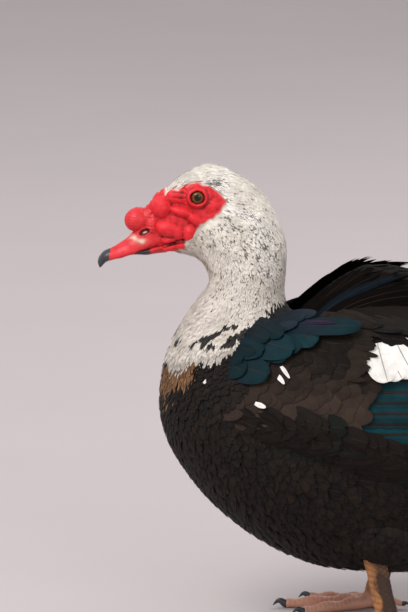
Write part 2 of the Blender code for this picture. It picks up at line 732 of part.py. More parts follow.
def make_leg(leg, paint):
    """The bare leg from the feathers down to the ankle."""
    x = leg.side * LEG_X
    path = [(x + leg.side * 4, leg.hock_y + 8, LEG_TOP_Z), (x + leg.side, leg.hock_y, HOCK_Z)]
    for share in (0.2, 0.45, 0.72, 1.0):
        y = leg.hock_y + (leg.ankle_y - leg.hock_y) * share
        path.append((x, y, HOCK_Z + (ANKLE_TOP - HOCK_Z) * share))
    shank = tube("leg", path, (15.0, 13.6, 11.6, 10.4, 10.2, 10.8), 12, 0.74)
    under = block("under", (x, leg.ankle_y, ANKLE_TOP + SEAM - 20), (40, 40, 20))
    fused(shank, [], [grown_body(SEAM), under])
    return finished(shank, "leg_" + SIDE_NAMES[leg.side], paint["leg_skin"])


def block(name, centre, half_sizes):
    """A box around a centre."""
    centre, half_sizes = np.array(centre, float), np.array(half_sizes, float)
    rings = []
    for end in (-1, 1):
        turns = np.array([(end, -1, -1), (end, 1, -1), (end, 1, 1), (end, -1, 1)])
        rings.append(centre + turns * half_sizes)
    return loft(name, rings)


def toe_path(leg, turn, length, radius):
    """The middle line of a toe, from inside the ankle to the flat end that its claw stands on."""
    heading = math.radians((leg.toe_turn - turn) * leg.side)
    ahead = np.array([math.sin(heading), -math.cos(heading)])
    start = np.array([leg.side * LEG_X, leg.ankle_y])
    path = []
    for share, rise in ((0.0, 0.0), (0.25, 0.95), (0.5, 0.8), (0.8, 0.62), (1.0, 0.6)):
        across, along = start + ahead * length * share
        height = rise * radius if share else ANKLE_HEIGHT
        path.append((across, along, FLOOR + height))
    return np.array(path), ahead


def make_foot(leg, paint):
    """A foot with its toes and web, and the claws at the toes' ends."""
    side_name = SIDE_NAMES[leg.side]
    x = leg.side * LEG_X
    foot = ball("foot", (x, leg.ankle_y - 2, FLOOR + 8.0), (10.5, 13.0, 13.0), 0, 12, 8)
    pieces = []
    ends = []
    for toe, turn, length, radius in TOES:
        path, ahead = toe_path(leg, turn, length, radius)
        radii = radius * np.array((1.25, 1.05, 0.9, 0.74, 0.62))
        pieces.append(tube("toe", path, radii, 8))
        ends.append((toe, path[-1], ahead, radius))
    back = leg.ankle_y
    hind_path = np.array(
        [
            (x, back + 4, FLOOR + ANKLE_HEIGHT),
            (x - leg.side * 3, back + 13, FLOOR + 8.0),
            (x - leg.side * 5, back + 8 + HIND_TOE_LENGTH, FLOOR + 5.0),
        ]
    )
    pieces.append(tube("hind_toe", hind_path, (5.2, HIND_TOE_RADIUS, 2.6), 8))
    pieces.append(web(leg))
    ground = block("ground", (x, back, FLOOR - 30.0), (150, 150, 30))
    leg_space = block("leg_space", (x, back, ANKLE_TOP + 20), (40, 40, 20))
    fused(foot, pieces, [ground, leg_space])
    finished(foot, "foot_" + side_name, paint["leg_skin"])
    for toe, end, ahead, radius in ends:
        make_claw("claw_%s_%s" % (toe, side_name), end, (*ahead, 0.0), radius * 0.6, CLAW_LENGTH, paint)
    hind_ahead = hind_path[2] - hind_path[1]
    hind_ahead /= np.linalg.norm(hind_ahead)
    make_claw("claw_hind_" + side_name, hind_path[2], hind_ahead, 2.3, 7.0, paint)


def make_claw(name, root, ahead, radius, length, paint):
    """A claw that leaves the toe's flat end and curves down to just above the floor."""
    root, ahead = np.array(root, float), np.array(ahead, float)
    path, radii = [], []
    for share in (0.0, 0.08, 0.38, 0.7, 1.0):
        point = root + ahead * (SEAM + length * share)
        bent = max(0.0, share - 0.08) / 0.92
        point[2] += radius * (0.8 * math.sin(math.pi * bent) - 0.5 * bent**2)
        path.append(point)
        radii.append(max(0.35, radius * (1 - 0.92 * share)))
    finished(tube("claw", path, radii, 6), name, paint["nail_horn"])


def web(leg):
    """The skin between the toes, with its front edge drawn in between each pair."""
    start = np.array([leg.side * LEG_X, leg.ankle_y])
    outline = [start + np.array([0.0, 4.0])]
    for _, turn, length, radius in TOES:
        path, _ = toe_path(leg, turn, length, radius)
        tip = start + (path[-1][:2] - start) * 0.9
        if len(outline) > 1:
            outline.append(start + ((outline[-1] + tip) / 2 - start) * 0.9)
        outline.append(tip)
    near, far = WEB_HEIGHTS
    top = [(*outline[0], FLOOR + near), *((*p, FLOOR + far) for p in outline[1:])]
    bottom = [(*p, FLOOR - 3.0) for p in outline]
    return closed_prism("web", np.array(bottom), np.array(top))


def closed_prism(name, bottom, top):
    """A closed body between two outlines, each filled as a fan from its first point."""
    count = len(bottom)
    faces = []
    for k in range(count):
        a, b = k, (k + 1) % count
        faces += [(a, b, b + count), (a, b + count, a + count)]
    for k in range(1, count - 1):
        faces += [(0, k + 1, k), (count, count + k, count + k + 1)]
    made = mesh_object(name, np.vstack([bottom, top]), faces)
    facing_out(made)
    return made


def main():
    """Clear the scene and build every sub-part."""
    for old in list(bpy.data.objects):
        bpy.data.objects.remove(old)
    paint = make_materials()
    make_head(paint)
    make_bill(paint)
    make_eyes(paint)
    make_neck(paint)
    make_torso(paint)
    make_tail(paint)
    for side in (LEFT, RIGHT):
        make_wing(side, paint)
    for leg in LEGS:
        make_leg(leg, paint)
        make_foot(leg, paint)


main()
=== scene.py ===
"""Looks of the life-size muscovy drake: skin, feathers, bill, eyes, legs, studio and camera.

Sizes are in millimetres until a mesh is made. Heights are measured from the same level as in the solids'
source, RAISE above the floor of the frame, and the bird faces -Y with its left side at +X.
"""

import logging
import math
from collections import defaultdict
from dataclasses import astuple, dataclass, field, replace
from enum import Enum
from functools import partial
from typing import Callable

import bmesh
import bpy
import numpy as np
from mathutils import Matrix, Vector
from numpy.random import default_rng

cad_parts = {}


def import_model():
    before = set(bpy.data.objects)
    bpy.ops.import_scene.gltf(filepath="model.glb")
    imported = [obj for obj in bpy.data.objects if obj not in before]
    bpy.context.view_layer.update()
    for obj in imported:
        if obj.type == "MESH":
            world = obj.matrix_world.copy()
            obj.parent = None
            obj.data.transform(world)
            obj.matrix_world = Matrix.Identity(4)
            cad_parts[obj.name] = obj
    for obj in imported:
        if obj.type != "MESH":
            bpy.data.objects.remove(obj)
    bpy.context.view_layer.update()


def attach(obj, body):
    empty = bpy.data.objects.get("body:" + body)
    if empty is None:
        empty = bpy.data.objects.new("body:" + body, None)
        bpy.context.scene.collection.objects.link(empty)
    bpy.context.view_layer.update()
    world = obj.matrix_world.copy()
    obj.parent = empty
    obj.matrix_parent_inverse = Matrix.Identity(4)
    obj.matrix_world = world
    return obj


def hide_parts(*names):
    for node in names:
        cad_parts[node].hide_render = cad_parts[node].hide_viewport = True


LOG = logging.getLogger("drake")

MM = 0.001
RAISE = 14.0  # the height of this file's level 0 above the floor
BODY = "root"
BAKE_MAP = "OFBake"
PATCH = 0.003  # the share of the bake map's width that one feather takes
BLUNTEST = 0.12  # the least share of its width that a rounded feather keeps at its tip
VANED_SPACING = 4.2  # the least distance between the roots of feathers with broad vanes
UNDER_FEATHERS = 4.0  # how far the thigh's skin lies below its feathers
EYE = (15.6, -222.4, 384.6)
EYE_RADIUS = 9.0
SEED = 20

Array = np.ndarray
Arrays = tuple[Array, Array]
Pair = tuple[float, float]
Triple = tuple[float, float, float]
Line = tuple[Pair, ...]
Values = dict[str, Array]
Table = tuple[tuple[float, ...], ...]
Shell = tuple[Array, list[list[int]]]
Place = Callable[[Array, Array], Arrays]
Material = bpy.types.Material
Node = bpy.types.Node
Tree = bpy.types.NodeTree
Socket = bpy.types.NodeSocket
Piece = bpy.types.Object


class Side(Enum):
    """The two sides of the bird, with the sign of x there."""

    LEFT = 1
    RIGHT = -1

    @property
    def word(self) -> str:
        """The side's name in the names of pieces and nodes."""
        return self.name.lower()


class Lie(Enum):
    """How far a kind of feather stands off its surface, in millimetres at the root and at the tip."""

    HAIR = (-1.3, 0.5)
    NECK = (-2.6, 0.4)
    BODY = (-4.2, 0.6)
    THIGH = (-4, 0.9)


@dataclass(frozen=True)
class Section:
    """One section of the body: back point and belly point on the middle plane, half width, and the share of
    the way down at which it is widest."""

    back_y: float
    back_z: float
    belly_y: float
    belly_z: float
    half_width: float
    widest: float


@dataclass(frozen=True)
class Bulb:
    """A rounded swelling of skin: centre, half sizes along, across and up, and its tilt in degrees."""

    x: float
    y: float
    z: float
    along: float
    across: float
    up: float
    tilt: float = 0.0


def rows_of(kind: type, *rows: tuple[float, ...]) -> tuple:
    """One object of this kind for each row of its values."""
    return tuple(kind(*row) for row in rows)


SECTIONS = rows_of(
    Section, (-262, 379, -260, 331, 14, 0.52), (-252, 390, -246, 331, 17.5, 0.55),
    (-232, 406, -229, 328, 21.5, 0.56), (-209, 412, -219, 322, 25, 0.58), (-184, 402, -214, 314, 28, 0.6),
    (-163, 385, -212, 307, 29.5, 0.58), (-150, 363, -213, 301, 30.5, 0.55),
    (-142, 339, -217, 295, 31, 0.52), (-142, 316, -223, 288, 32.5, 0.5), (-143, 297, -231, 277, 36, 0.5),
    (-141, 284, -240, 262, 43, 0.52), (-136, 277, -250, 242, 55, 0.54), (-128, 275, -256, 215, 68, 0.54),
    (-119, 276, -257, 183, 80, 0.52), (-110, 277, -246, 149, 89, 0.5), (-98, 278, -218, 109, 96, 0.48),
    (-83, 278, -184, 78, 101, 0.47), (-64, 278, -147, 55, 104, 0.46), (-42, 277, -109, 41, 105, 0.46),
    (-15, 274, -66, 36, 104, 0.45), (16, 269, -22, 36, 101, 0.44), (51, 262, 24, 44, 94, 0.43),
    (86, 253, 66, 64, 83, 0.42), (118, 243, 103, 95, 67, 0.42), (146, 232, 134, 132, 49, 0.42),
    (172, 221, 162, 153, 42, 0.42), (198, 211, 191, 170, 36, 0.45), (224, 202, 220, 182, 31, 0.45),
)
NECK_TOP, TRUNK_TOP = 5.0, 11.0  # the u at which the neck and the trunk begin


def ramp(low: float, high: float, value: Array) -> Array:
    """A share that rises smoothly from 0 at low to 1 at high.

    Args:
        low: where the share is 0.
        high: where the share is 1.
        value: the values to read.

    Returns:
        The share at each value.
    """
    t = np.clip((np.asarray(value, float) - low) / (high - low), 0, 1)
    return t * t * (3 - 2 * t)


def spline(rows: Array, steps: int) -> Array:
    """Points on a smooth curve through rows.

    Args:
        rows: the rows that the curve passes through.
        steps: how many steps it takes from each row to the next.

    Returns:
        The rows of the curve, the last one included.
    """
    rows = np.array(rows, float)
    ends = np.vstack([2 * rows[0] - rows[1], rows, 2 * rows[-1] - rows[-2]])
    made = []
    for i in range(len(rows) - 1):
        a, b, c, d = ends[i : i + 4]
        for t in np.arange(steps) / steps:
            bend = (2 * a - 5 * b + 4 * c - d) * t**2 + (3 * b - a - 3 * c + d) * t**3
            made.append(0.5 * (2 * b + (c - a) * t + bend))
    return np.array(made + [rows[-1]])


def stacked(*parts: Array) -> Array:
    """The parts side by side, along a new last axis."""
    return np.stack(parts, axis=-1)


def grid_quads(number: Array) -> Array:
    """The quads between neighbours in a grid of vertex numbers."""
    return stacked(number[:-1, :-1], number[:-1, 1:], number[1:, 1:], number[1:, :-1]).reshape(-1, 4)


def unit(vectors: Array) -> Array:
    """The vectors, each scaled to length 1."""
    return vectors / np.maximum(np.linalg.norm(vectors, axis=-1, keepdims=True), 1e-9)


def height_on(line: Line, y: Array) -> Array:
    """The height of a line of (y, z) corners at each y."""
    return np.interp(y, *zip(*line))


def spot(points: Array, y: float, z: float, half_length: float, half_height: float) -> Array:
    """A soft round spot over (y, z), 1 at its middle."""
    return np.exp(-(((points[:, 1] - y) / half_length) ** 2) - (((points[:, 2] - z) / half_height) ** 2))


def tipped(points: Array, degrees: float) -> Array:
    """The points turned about x."""
    turn = math.radians(degrees)
    x, y, z = points[..., 0], points[..., 1], points[..., 2]
    return stacked(x, y * math.cos(turn) - z * math.sin(turn), y * math.sin(turn) + z * math.cos(turn))


def noise(points: Array, size: float, seed: float = 0) -> Array:
    """Smooth noise between about -1 and 1, made from crossed waves so that it is quick for many points.

    Args:
        points: (n, 3) places in millimetres.
        size: the usual width of its patches.
        seed: shifts the pattern.

    Returns:
        One value for each point.
    """
    draw = default_rng(int(seed * 97) + 5)
    total = np.zeros(len(points))
    for _ in range(7):
        way = unit(draw.normal(size=3)[None])[0]
        length = size * draw.uniform(1.6, 3.4)
        total += np.sin(points @ way * (math.tau / length) + draw.uniform(0, math.tau))
    return np.clip(total / 3.2, -1, 1)


def section_rings(sections: tuple[Section, ...], steps: int, sides: int) -> Array:
    """Rings of points through sections, each from the back round by the left side and the belly.

    Args:
        sections: the sections that the form passes through.
        steps: how many rings there are from each section to the next.
        sides: the points in a ring.

    Returns:
        The points, (rings, sides, 3).
    """
    rows = spline([astuple(s) for s in sections], steps)
    back, belly = rows[:, None, 0:2], rows[:, None, 2:4]
    angle = math.tau * np.arange(sides) / sides
    cosine, widest = np.cos(angle)[None], rows[:, None, 5]
    depth = (widest - cosine * np.where(cosine > 0, widest, 1 - widest))[..., None]
    across = rows[:, None, 4] * np.sin(angle)[None]
    return np.concatenate([across[..., None], back + (belly - back) * depth], axis=2)


def linked(name: str, data: bpy.types.ID) -> Piece:
    """A new object in the scene."""
    made = bpy.data.objects.new(name, data)
    bpy.context.scene.collection.objects.link(made)
    return made


def piece(
    name: str, points: Array, faces: Array | list, values: Values, material: Material
) -> Piece:
    """Makes one smooth piece with its attributes and lets it ride on the frame.

    Args:
        name: the piece's name.
        points: its vertices, in millimetres.
        faces: its faces.
        values: one number per vertex for each named attribute.
        material: its material.

    Returns:
        The new object.
    """
    mesh = bpy.data.meshes.new(name)
    faces = faces.tolist() if isinstance(faces, np.ndarray) else faces
    mesh.from_pydata(((points + (0, 0, RAISE)) * MM).tolist(), [], faces)
    for label, own in values.items():
        mesh.attributes.new(label, "FLOAT", "POINT").data.foreach_set("value", own.astype(np.float32))
    mesh.shade_smooth()
    mesh.materials.append(material)
    made = linked(name, mesh)
    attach(made, BODY)
    LOG.info("%s: %d triangles", name, len(mesh.loops) - 2 * len(mesh.polygons))
    return made


@dataclass
class BodySurface:
    """The outer form of head, neck, trunk and rump as a smooth sheet over (u, v).

    u counts the sections from the face to the rump, and v goes round from the back (0) by the left side
    (0.25) and the belly (0.5) to the right side (0.75).
    """

    steps: int = 12
    sides: int = 192
    points: Array = field(init=False)
    normals: Array = field(init=False)
    pitch_u: Array = field(init=False)
    pitch_v: Array = field(init=False)

    def __post_init__(self) -> None:
        self.points = section_rings(SECTIONS, self.steps, self.sides)
        along = np.gradient(self.points, axis=0) * self.steps
        wrapped = np.concatenate([self.points[:, -1:], self.points, self.points[:, :1]], axis=1)
        around = (wrapped[:, 2:] - wrapped[:, :-2]) / 2 * self.sides
        self.normals = unit(np.cross(along, around))
        middle = self.points.mean(axis=1, keepdims=True)
        if np.sum(self.normals * (self.points - middle)) < 0:
            self.normals = -self.normals
        self.pitch_u = np.linalg.norm(along, axis=2)
        self.pitch_v = np.linalg.norm(around, axis=2)

    def read(self, grid: Array, u: Array, v: Array) -> Array:
        """Reads a grid of values between its rows and columns.

        Args:
            grid: values for each row and column, such as points.
            u: section numbers.
            v: shares of the way round.

        Returns:
            The values at (u, v).
        """
        a = np.clip(np.asarray(u, float) * self.steps, 0, len(grid) - 1.001)
        b = np.mod(np.asarray(v, float), 1) * self.sides
        i, k = a.astype(int), b.astype(int) % self.sides
        s, t = a - i, b - np.floor(b)
        if grid.ndim == 3:
            s, t = s[..., None], t[..., None]
        after = (k + 1) % self.sides
        near = grid[i, k] * (1 - t) + grid[i, after] * t
        far = grid[i + 1, k] * (1 - t) + grid[i + 1, after] * t
        return near * (1 - s) + far * s

    def place(self, u: Array, v: Array) -> Arrays:
        """The points and outward normals at (u, v)."""
        return self.read(self.points, u, v), unit(self.read(self.normals, u, v))

    def shell(self, us: Array, lift: Array, sides: int) -> Shell:
        """A closed shell that stands lift off the outer form, with a ring of sides points at each u."""
        u, v = np.meshgrid(us, np.arange(sides) / sides, indexing="ij")
        points, normals = self.place(u, v)
        return ring_shell(points + normals * lift[:, None, None])

    def scatter(self, spacing: Callable[[Array], Array], start: float, end: float, seed: int) -> Arrays:
        """Spreads roots evenly over the sheet.

        Args:
            spacing: the distance between roots as a function of u.
            start: the first u.
            end: the last u.
            seed: starts the random draw.

        Returns:
            The u and v of the roots.
        """
        draw = default_rng(seed)
        us, vs = [], []
        u = start
        row = 0
        while u < end:
            gap = float(spacing(np.array([u]))[0])
            ring = np.full(64, u), np.arange(64) / 64
            pitch = self.read(self.pitch_v, *ring)
            girth = float(pitch.mean())
            length = np.cumsum(pitch) / pitch.sum()
            count = max(6, int(girth / gap))
            shares = (np.arange(count) + 0.5 * (row % 2) + draw.uniform(-0.3, 0.3, count)) / count
            v = np.interp(np.mod(shares, 1), np.concatenate([[0], length]), np.arange(65) / 64)
            step = float(self.read(self.pitch_u, *ring).max())
            own = self.read(self.pitch_u, np.full(count, u), v)
            kept = draw.uniform(size=count) < own / step
            us.append((u + draw.uniform(-0.35, 0.35, count) * gap * 0.8 / step)[kept])
            vs.append(v[kept])
            u += gap * 0.8 / step
            row += 1
        return np.clip(np.concatenate(us), start, end), np.concatenate(vs)


@dataclass
class Sheet:
    """Vertices, faces and attributes of one mesh while it is put together, in millimetres."""

    parts: dict[str, list[Array]] = field(default_factory=lambda: defaultdict(list))
    count: int = 0

    def add_grid(self, points: Array, tints: Array, patches: Array, gloss: Array) -> None:
        """Adds many small grids of vertices, each joined by quads.

        Args:
            points: (n, stations, columns, 3) places.
            tints: (n, stations, columns, 3) colours.
            patches: (n, 2) place of each grid on the bake map, from 0 to 1.
            gloss: (n,) how metallic each grid's gloss is, from 0 to 1.
        """
        n, stations, columns, _ = points.shape
        share_u = np.broadcast_to(np.linspace(-1, 1, columns)[None, None], (n, stations, columns))
        share_v = np.broadcast_to(np.linspace(0, 1, stations)[None, :, None], (n, stations, columns))
        corners = grid_quads(np.arange(stations * columns).reshape(stations, columns))
        starts = self.count + np.arange(n)[:, None, None] * stations * columns
        inner = stacked((share_u + 1) / 2, share_v) * PATCH
        spread = 0.001 + patches * (0.998 - PATCH)
        new = {
            "points": points.reshape(-1, 3),
            "quads": (corners[None] + starts).reshape(-1, 4),
            "vane_across": share_u.ravel(),
            "vane_along": share_v.ravel(),
            "gloss": np.repeat(gloss, stations * columns),
            "tint": tints.reshape(-1, 3),
            "patches": (spread[:, None, None, :] + inner).reshape(-1, 2),
        }
        for name, values in new.items():
            self.parts[name].append(values)
        self.count += n * stations * columns

    def made(self, name: str, material: Material, slot: str) -> Piece:
        """Makes the piece of this name and material."""
        own = {part: np.concatenate(values) for part, values in self.parts.items()}
        values = {label: own[label] for label in ("vane_across", "vane_along", "gloss")}
        made = piece(name, own["points"], own["quads"], values, material)
        colours = np.column_stack([own["tint"], np.ones(self.count)])
        tint = made.data.attributes.new("tint", "FLOAT_COLOR", "POINT")
        tint.data.foreach_set("color", colours.astype(np.float32).ravel())
        patches = own["patches"][own["quads"].ravel()]
        made.data.uv_layers.new(name=BAKE_MAP).data.foreach_set("uv", patches.astype(np.float32).ravel())
        return made


@dataclass
class Vanes:
    """Many feathers of one kind on one surface. Every field is one value or one row for each feather.

    roots, bends and tips are (u, v) on the surface, and area is the start and the size of its bake map there.
    width, level and rise are in millimetres: a tip stands level off the surface, and its root rise lower.
    """

    place: Place
    roots: Array
    bends: Array
    tips: Array
    width: Array
    level: Array
    rise: Array | float
    tint: Array
    tip_tint: Array
    area: tuple[Pair, Pair]
    stations: int = 6
    columns: int = 3
    full: float = 0.5
    blunt: float = 0.25
    camber: Array | float = 0.0
    gloss: Array | float = 0.0
    ragged: float = 0.0
    tip_start: float = 0.6
    seed: int = 1

    def grids(self) -> Arrays:
        """Works out every feather's grid of points and colours.

        Returns:
            The points and the colours, each (n, stations, columns, 3).
        """
        draw = default_rng(self.seed)
        n = len(self.roots)

        def each(values: Array | float) -> Array:
            return np.reshape(np.broadcast_to(values, (n,)), (-1, 1, 1))

        shares = 1 - (1 - np.linspace(0, 1, self.stations)) ** 1.35
        shift = np.linspace(-1, 1, self.columns)
        t = shares[None, :, None] + np.zeros((n, 1, self.columns))
        late = np.clip((t - 0.55) / 0.45, 0, 1)
        t = t - late * self.ragged * draw.uniform(0, 1, (n, 1, self.columns))
        root, bend, tip = (a[:, None, None, :] for a in (self.roots, self.bends, self.tips))

        def shaft(s: Array) -> Arrays:
            line = (1 - s) ** 2 * root + 2 * s * (1 - s) * bend + s**2 * tip
            return self.place(line[..., 0], line[..., 1])

        centre, normal = shaft(t[..., None])
        ahead = unit(shaft(t[..., None] + 0.02)[0] - centre)
        side = unit(np.cross(normal, ahead))
        late = np.clip(t - self.tip_start, 0, None) / (1 - self.tip_start)
        rounding = np.sqrt(np.clip(1 - late**2, 0, 1))
        swell = np.minimum(1, self.full + (1 - self.full) * t / 0.45)
        half = each(self.width) / 2 * swell * np.maximum(rounding, self.blunt)
        lift = each(self.level) + each(self.rise) * (t - 1)
        crown = each(self.camber) * (1 - shift**2) * swell
        points = centre + side * (half * shift)[..., None] + normal * (lift + crown)[..., None]
        blend = ramp(0.25, 0.95, t)[..., None]
        tints = self.tint[:, None, None, :] * (1 - blend) + self.tip_tint[:, None, None, :] * blend
        return points, tints

    def lay(self, sheet: Sheet) -> None:
        """Adds the feathers to a sheet."""
        points, tints = self.grids()
        start, size = np.array(self.area)
        patches = np.clip((self.roots - start) / size, 0, 1)
        sheet.add_grid(points, tints, patches, np.broadcast_to(self.gloss, (len(self.roots),)))


WHITE = np.array((0.91, 0.87, 0.81))
CREAM = np.array((0.78, 0.71, 0.58))
STRAW = np.array((0.46, 0.36, 0.22))
BLACK = np.array((0.0085, 0.007, 0.0068))
UMBER = np.array((0.021, 0.0135, 0.0095))
TAN = np.array((0.36, 0.185, 0.085))
BROWN = np.array((0.05, 0.0315, 0.023))
TEAL = np.array((0.006, 0.046, 0.057))
GREEN = np.array((0.006, 0.022, 0.017))
NAVY = np.array((0.01, 0.02, 0.031))
PURPLE = np.array((0.06, 0.016, 0.07))


@dataclass
class Markings:
    """Where the plumage is white, tan, flecked or dark, for roots and for the skin under them.

    Spots hold weight, y, z, half length and half height, and band holds y, middle height and half height.
    """

    forehead_y: float = -251.5
    bib: Line = (
        (-262, 221), (-250, 226), (-228, 238), (-198, 243), (-172, 263), (-147, 286), (-129, 306), (-90, 350),
    )
    band: Table = (
        (-228, 251, 2.5), (-214, 257, 6.5), (-194, 262, 8.5), (-180, 264, 5), (-168, 267, 0.5),
    )
    fleck_spots: Table = (
        (0.5, -176, 352, 26, 24), (0.3, -160, 326, 20, 26), (0.15, -182, 304, 34, 26),
        (0.26, -205, 352, 15, 16),
    )
    brow_spots: Table = ((1.08, -205, 396.5, 9, 3.2), (0.24, -240, 396, 7, 4))
    mask: Line = (
        (-266, 390), (-251.5, 391.5), (-240, 391.8), (-233, 395.5), (-224, 398), (-215, 396.5), (-205, 391),
        (-195.5, 381.5), (-199, 375), (-208, 365.5), (-220, 359.5), (-223, 354), (-226.5, 347), (-233.5, 344),
        (-232, 337.5), (-240, 332), (-258, 328), (-290, 318), (-320, 318), (-320, 390), (-266, 390),
    )

    def mask_edge(self, points: Array) -> Array:
        """How far points are inside the red mask of the face.

        Args:
            points: (n, 3) places on the head.

        Returns:
            A number that is positive inside the mask, in millimetres.
        """
        y, z = points[:, 1], points[:, 2]
        inside = np.zeros(len(y), bool)
        for (y0, z0), (y1, z1) in zip(self.mask, self.mask[1:]):
            crosses = (z0 > z) != (z1 > z)
            at = (y1 - y0) * (z - z0) / (z1 - z0 if z1 != z0 else 1e-9) + y0
            inside ^= crosses & (y < at)
        nearest, _ = line_distance(y, z, self.mask)
        crown = (np.abs(points[:, 0]) < 9) & (z > 352) & (y > -262)
        reach = np.where(inside, nearest, -nearest) + 0.8 * noise(points, 4, 31)
        return np.where(crown, np.minimum(reach, self.forehead_y - y), reach)

    def flecks(self, points: Array) -> Array:
        """How likely a head or neck feather is to be dark, from 0 to 1."""
        side = ramp(5, 17, np.abs(points[:, 0]))
        spread, brow = (
            sum(weight * spot(points, *where) for weight, *where in spots)
            for spots in (self.fleck_spots, self.brow_spots)
        )
        clumps = ramp(0, 0.65, noise(points, 5, 3))
        return np.clip(side * (spread * (0.12 + 0.9 * clumps) + brow), 0, 0.92)

    def bib_marks(self, points: Array) -> Array:
        """Whether a bib feather belongs to one of the black marks, as a share."""
        x, y, z = points.T
        grain = noise(points, 5, 9)
        ys, middles, halves = zip(*self.band)
        off = np.abs(z - np.interp(y, ys, middles) - 2 * noise(points, 12, 4))
        band = ramp(1.5, -1.5, off - np.interp(y, ys, halves)) * (y > -230) * (y < -168)
        band = band * ramp(12, 24, np.abs(x))
        front = ramp(0.12, 0.35, noise(points, 9, 6)) * ramp(-234, -243, y)
        front = front * ramp(282, 268, z)
        return np.clip(band * ramp(-0.6, 0, grain) + front, 0, 1)

    def tints(self, points: Array, seed: int) -> Arrays:
        """The root and tip colours of body feathers.

        Args:
            points: (n, 3) roots.
            seed: starts the random draw.

        Returns:
            Two (n, 3) arrays of colours.
        """
        draw = default_rng(seed)
        n = len(points)
        _, y, z = points.T
        pale = WHITE + (CREAM - WHITE) * (0.2 + 0.35 * noise(points, 30, 1)[:, None] ** 2)
        # A straw tint on the throat, blotched by noise.
        throat_tint = spot(points, -214, 324, 12, 15) * (0.5 + 0.5 * noise(points, 6, 2))
        pale = pale + (STRAW - pale) * 0.7 * np.clip(throat_tint, 0, 1)[:, None]
        # Painted shade: the white feathers grow greyer towards the bottom of the neck, where less light
        # falls.
        painted_low_shade = 1 - (0.14, 0.17, 0.19) * ramp(345, 300, z)[:, None]
        pale = pale * draw.uniform(0.9, 1.04, (n, 1)) * painted_low_shade
        dark = UMBER + (BLACK - UMBER) * draw.uniform(0, 1, (n, 1))
        flank = ramp(150, 190, z) * ramp(-220, -180, y)
        belly_green = (flank * ramp(0, 0.6, noise(points, 34, 2)))[:, None]
        dark = dark * (1 - 0.7 * belly_green) + GREEN * 0.7 * belly_green
        dark = dark * draw.uniform(0.88, 1.14, (n, 1))
        edge = height_on(self.bib, y) + 3.5 * noise(points, 12, 7) + draw.normal(0, 1.8, n)
        white = z > edge
        below = edge - z
        patch = ramp(34, 8, below + 6 * noise(points, 12, 8)) * ramp(-220, -232, y)
        tan = (below >= 0) & (draw.uniform(size=n) < patch)
        mixed = TAN * draw.uniform(0.6, 1.35, (n, 1))
        colour = np.where(white[:, None], pale, np.where(tan[:, None], mixed, dark))
        marked = white & (draw.uniform(size=n) < self.bib_marks(points))
        fleck = white & (draw.uniform(size=n) < self.flecks(points))
        root = np.where(marked[:, None], BLACK * 1.3, colour)
        soot = draw.uniform(0, 1, (n, 1)) ** 1.6 * 0.34
        soot = np.where(marked[:, None], 0.02, soot)
        soot = BLACK * 2 * (1 - soot) + pale * soot
        tip = np.where((marked | fleck)[:, None], soot, colour * np.where(white[:, None], 1, 0.82))
        return root, tip


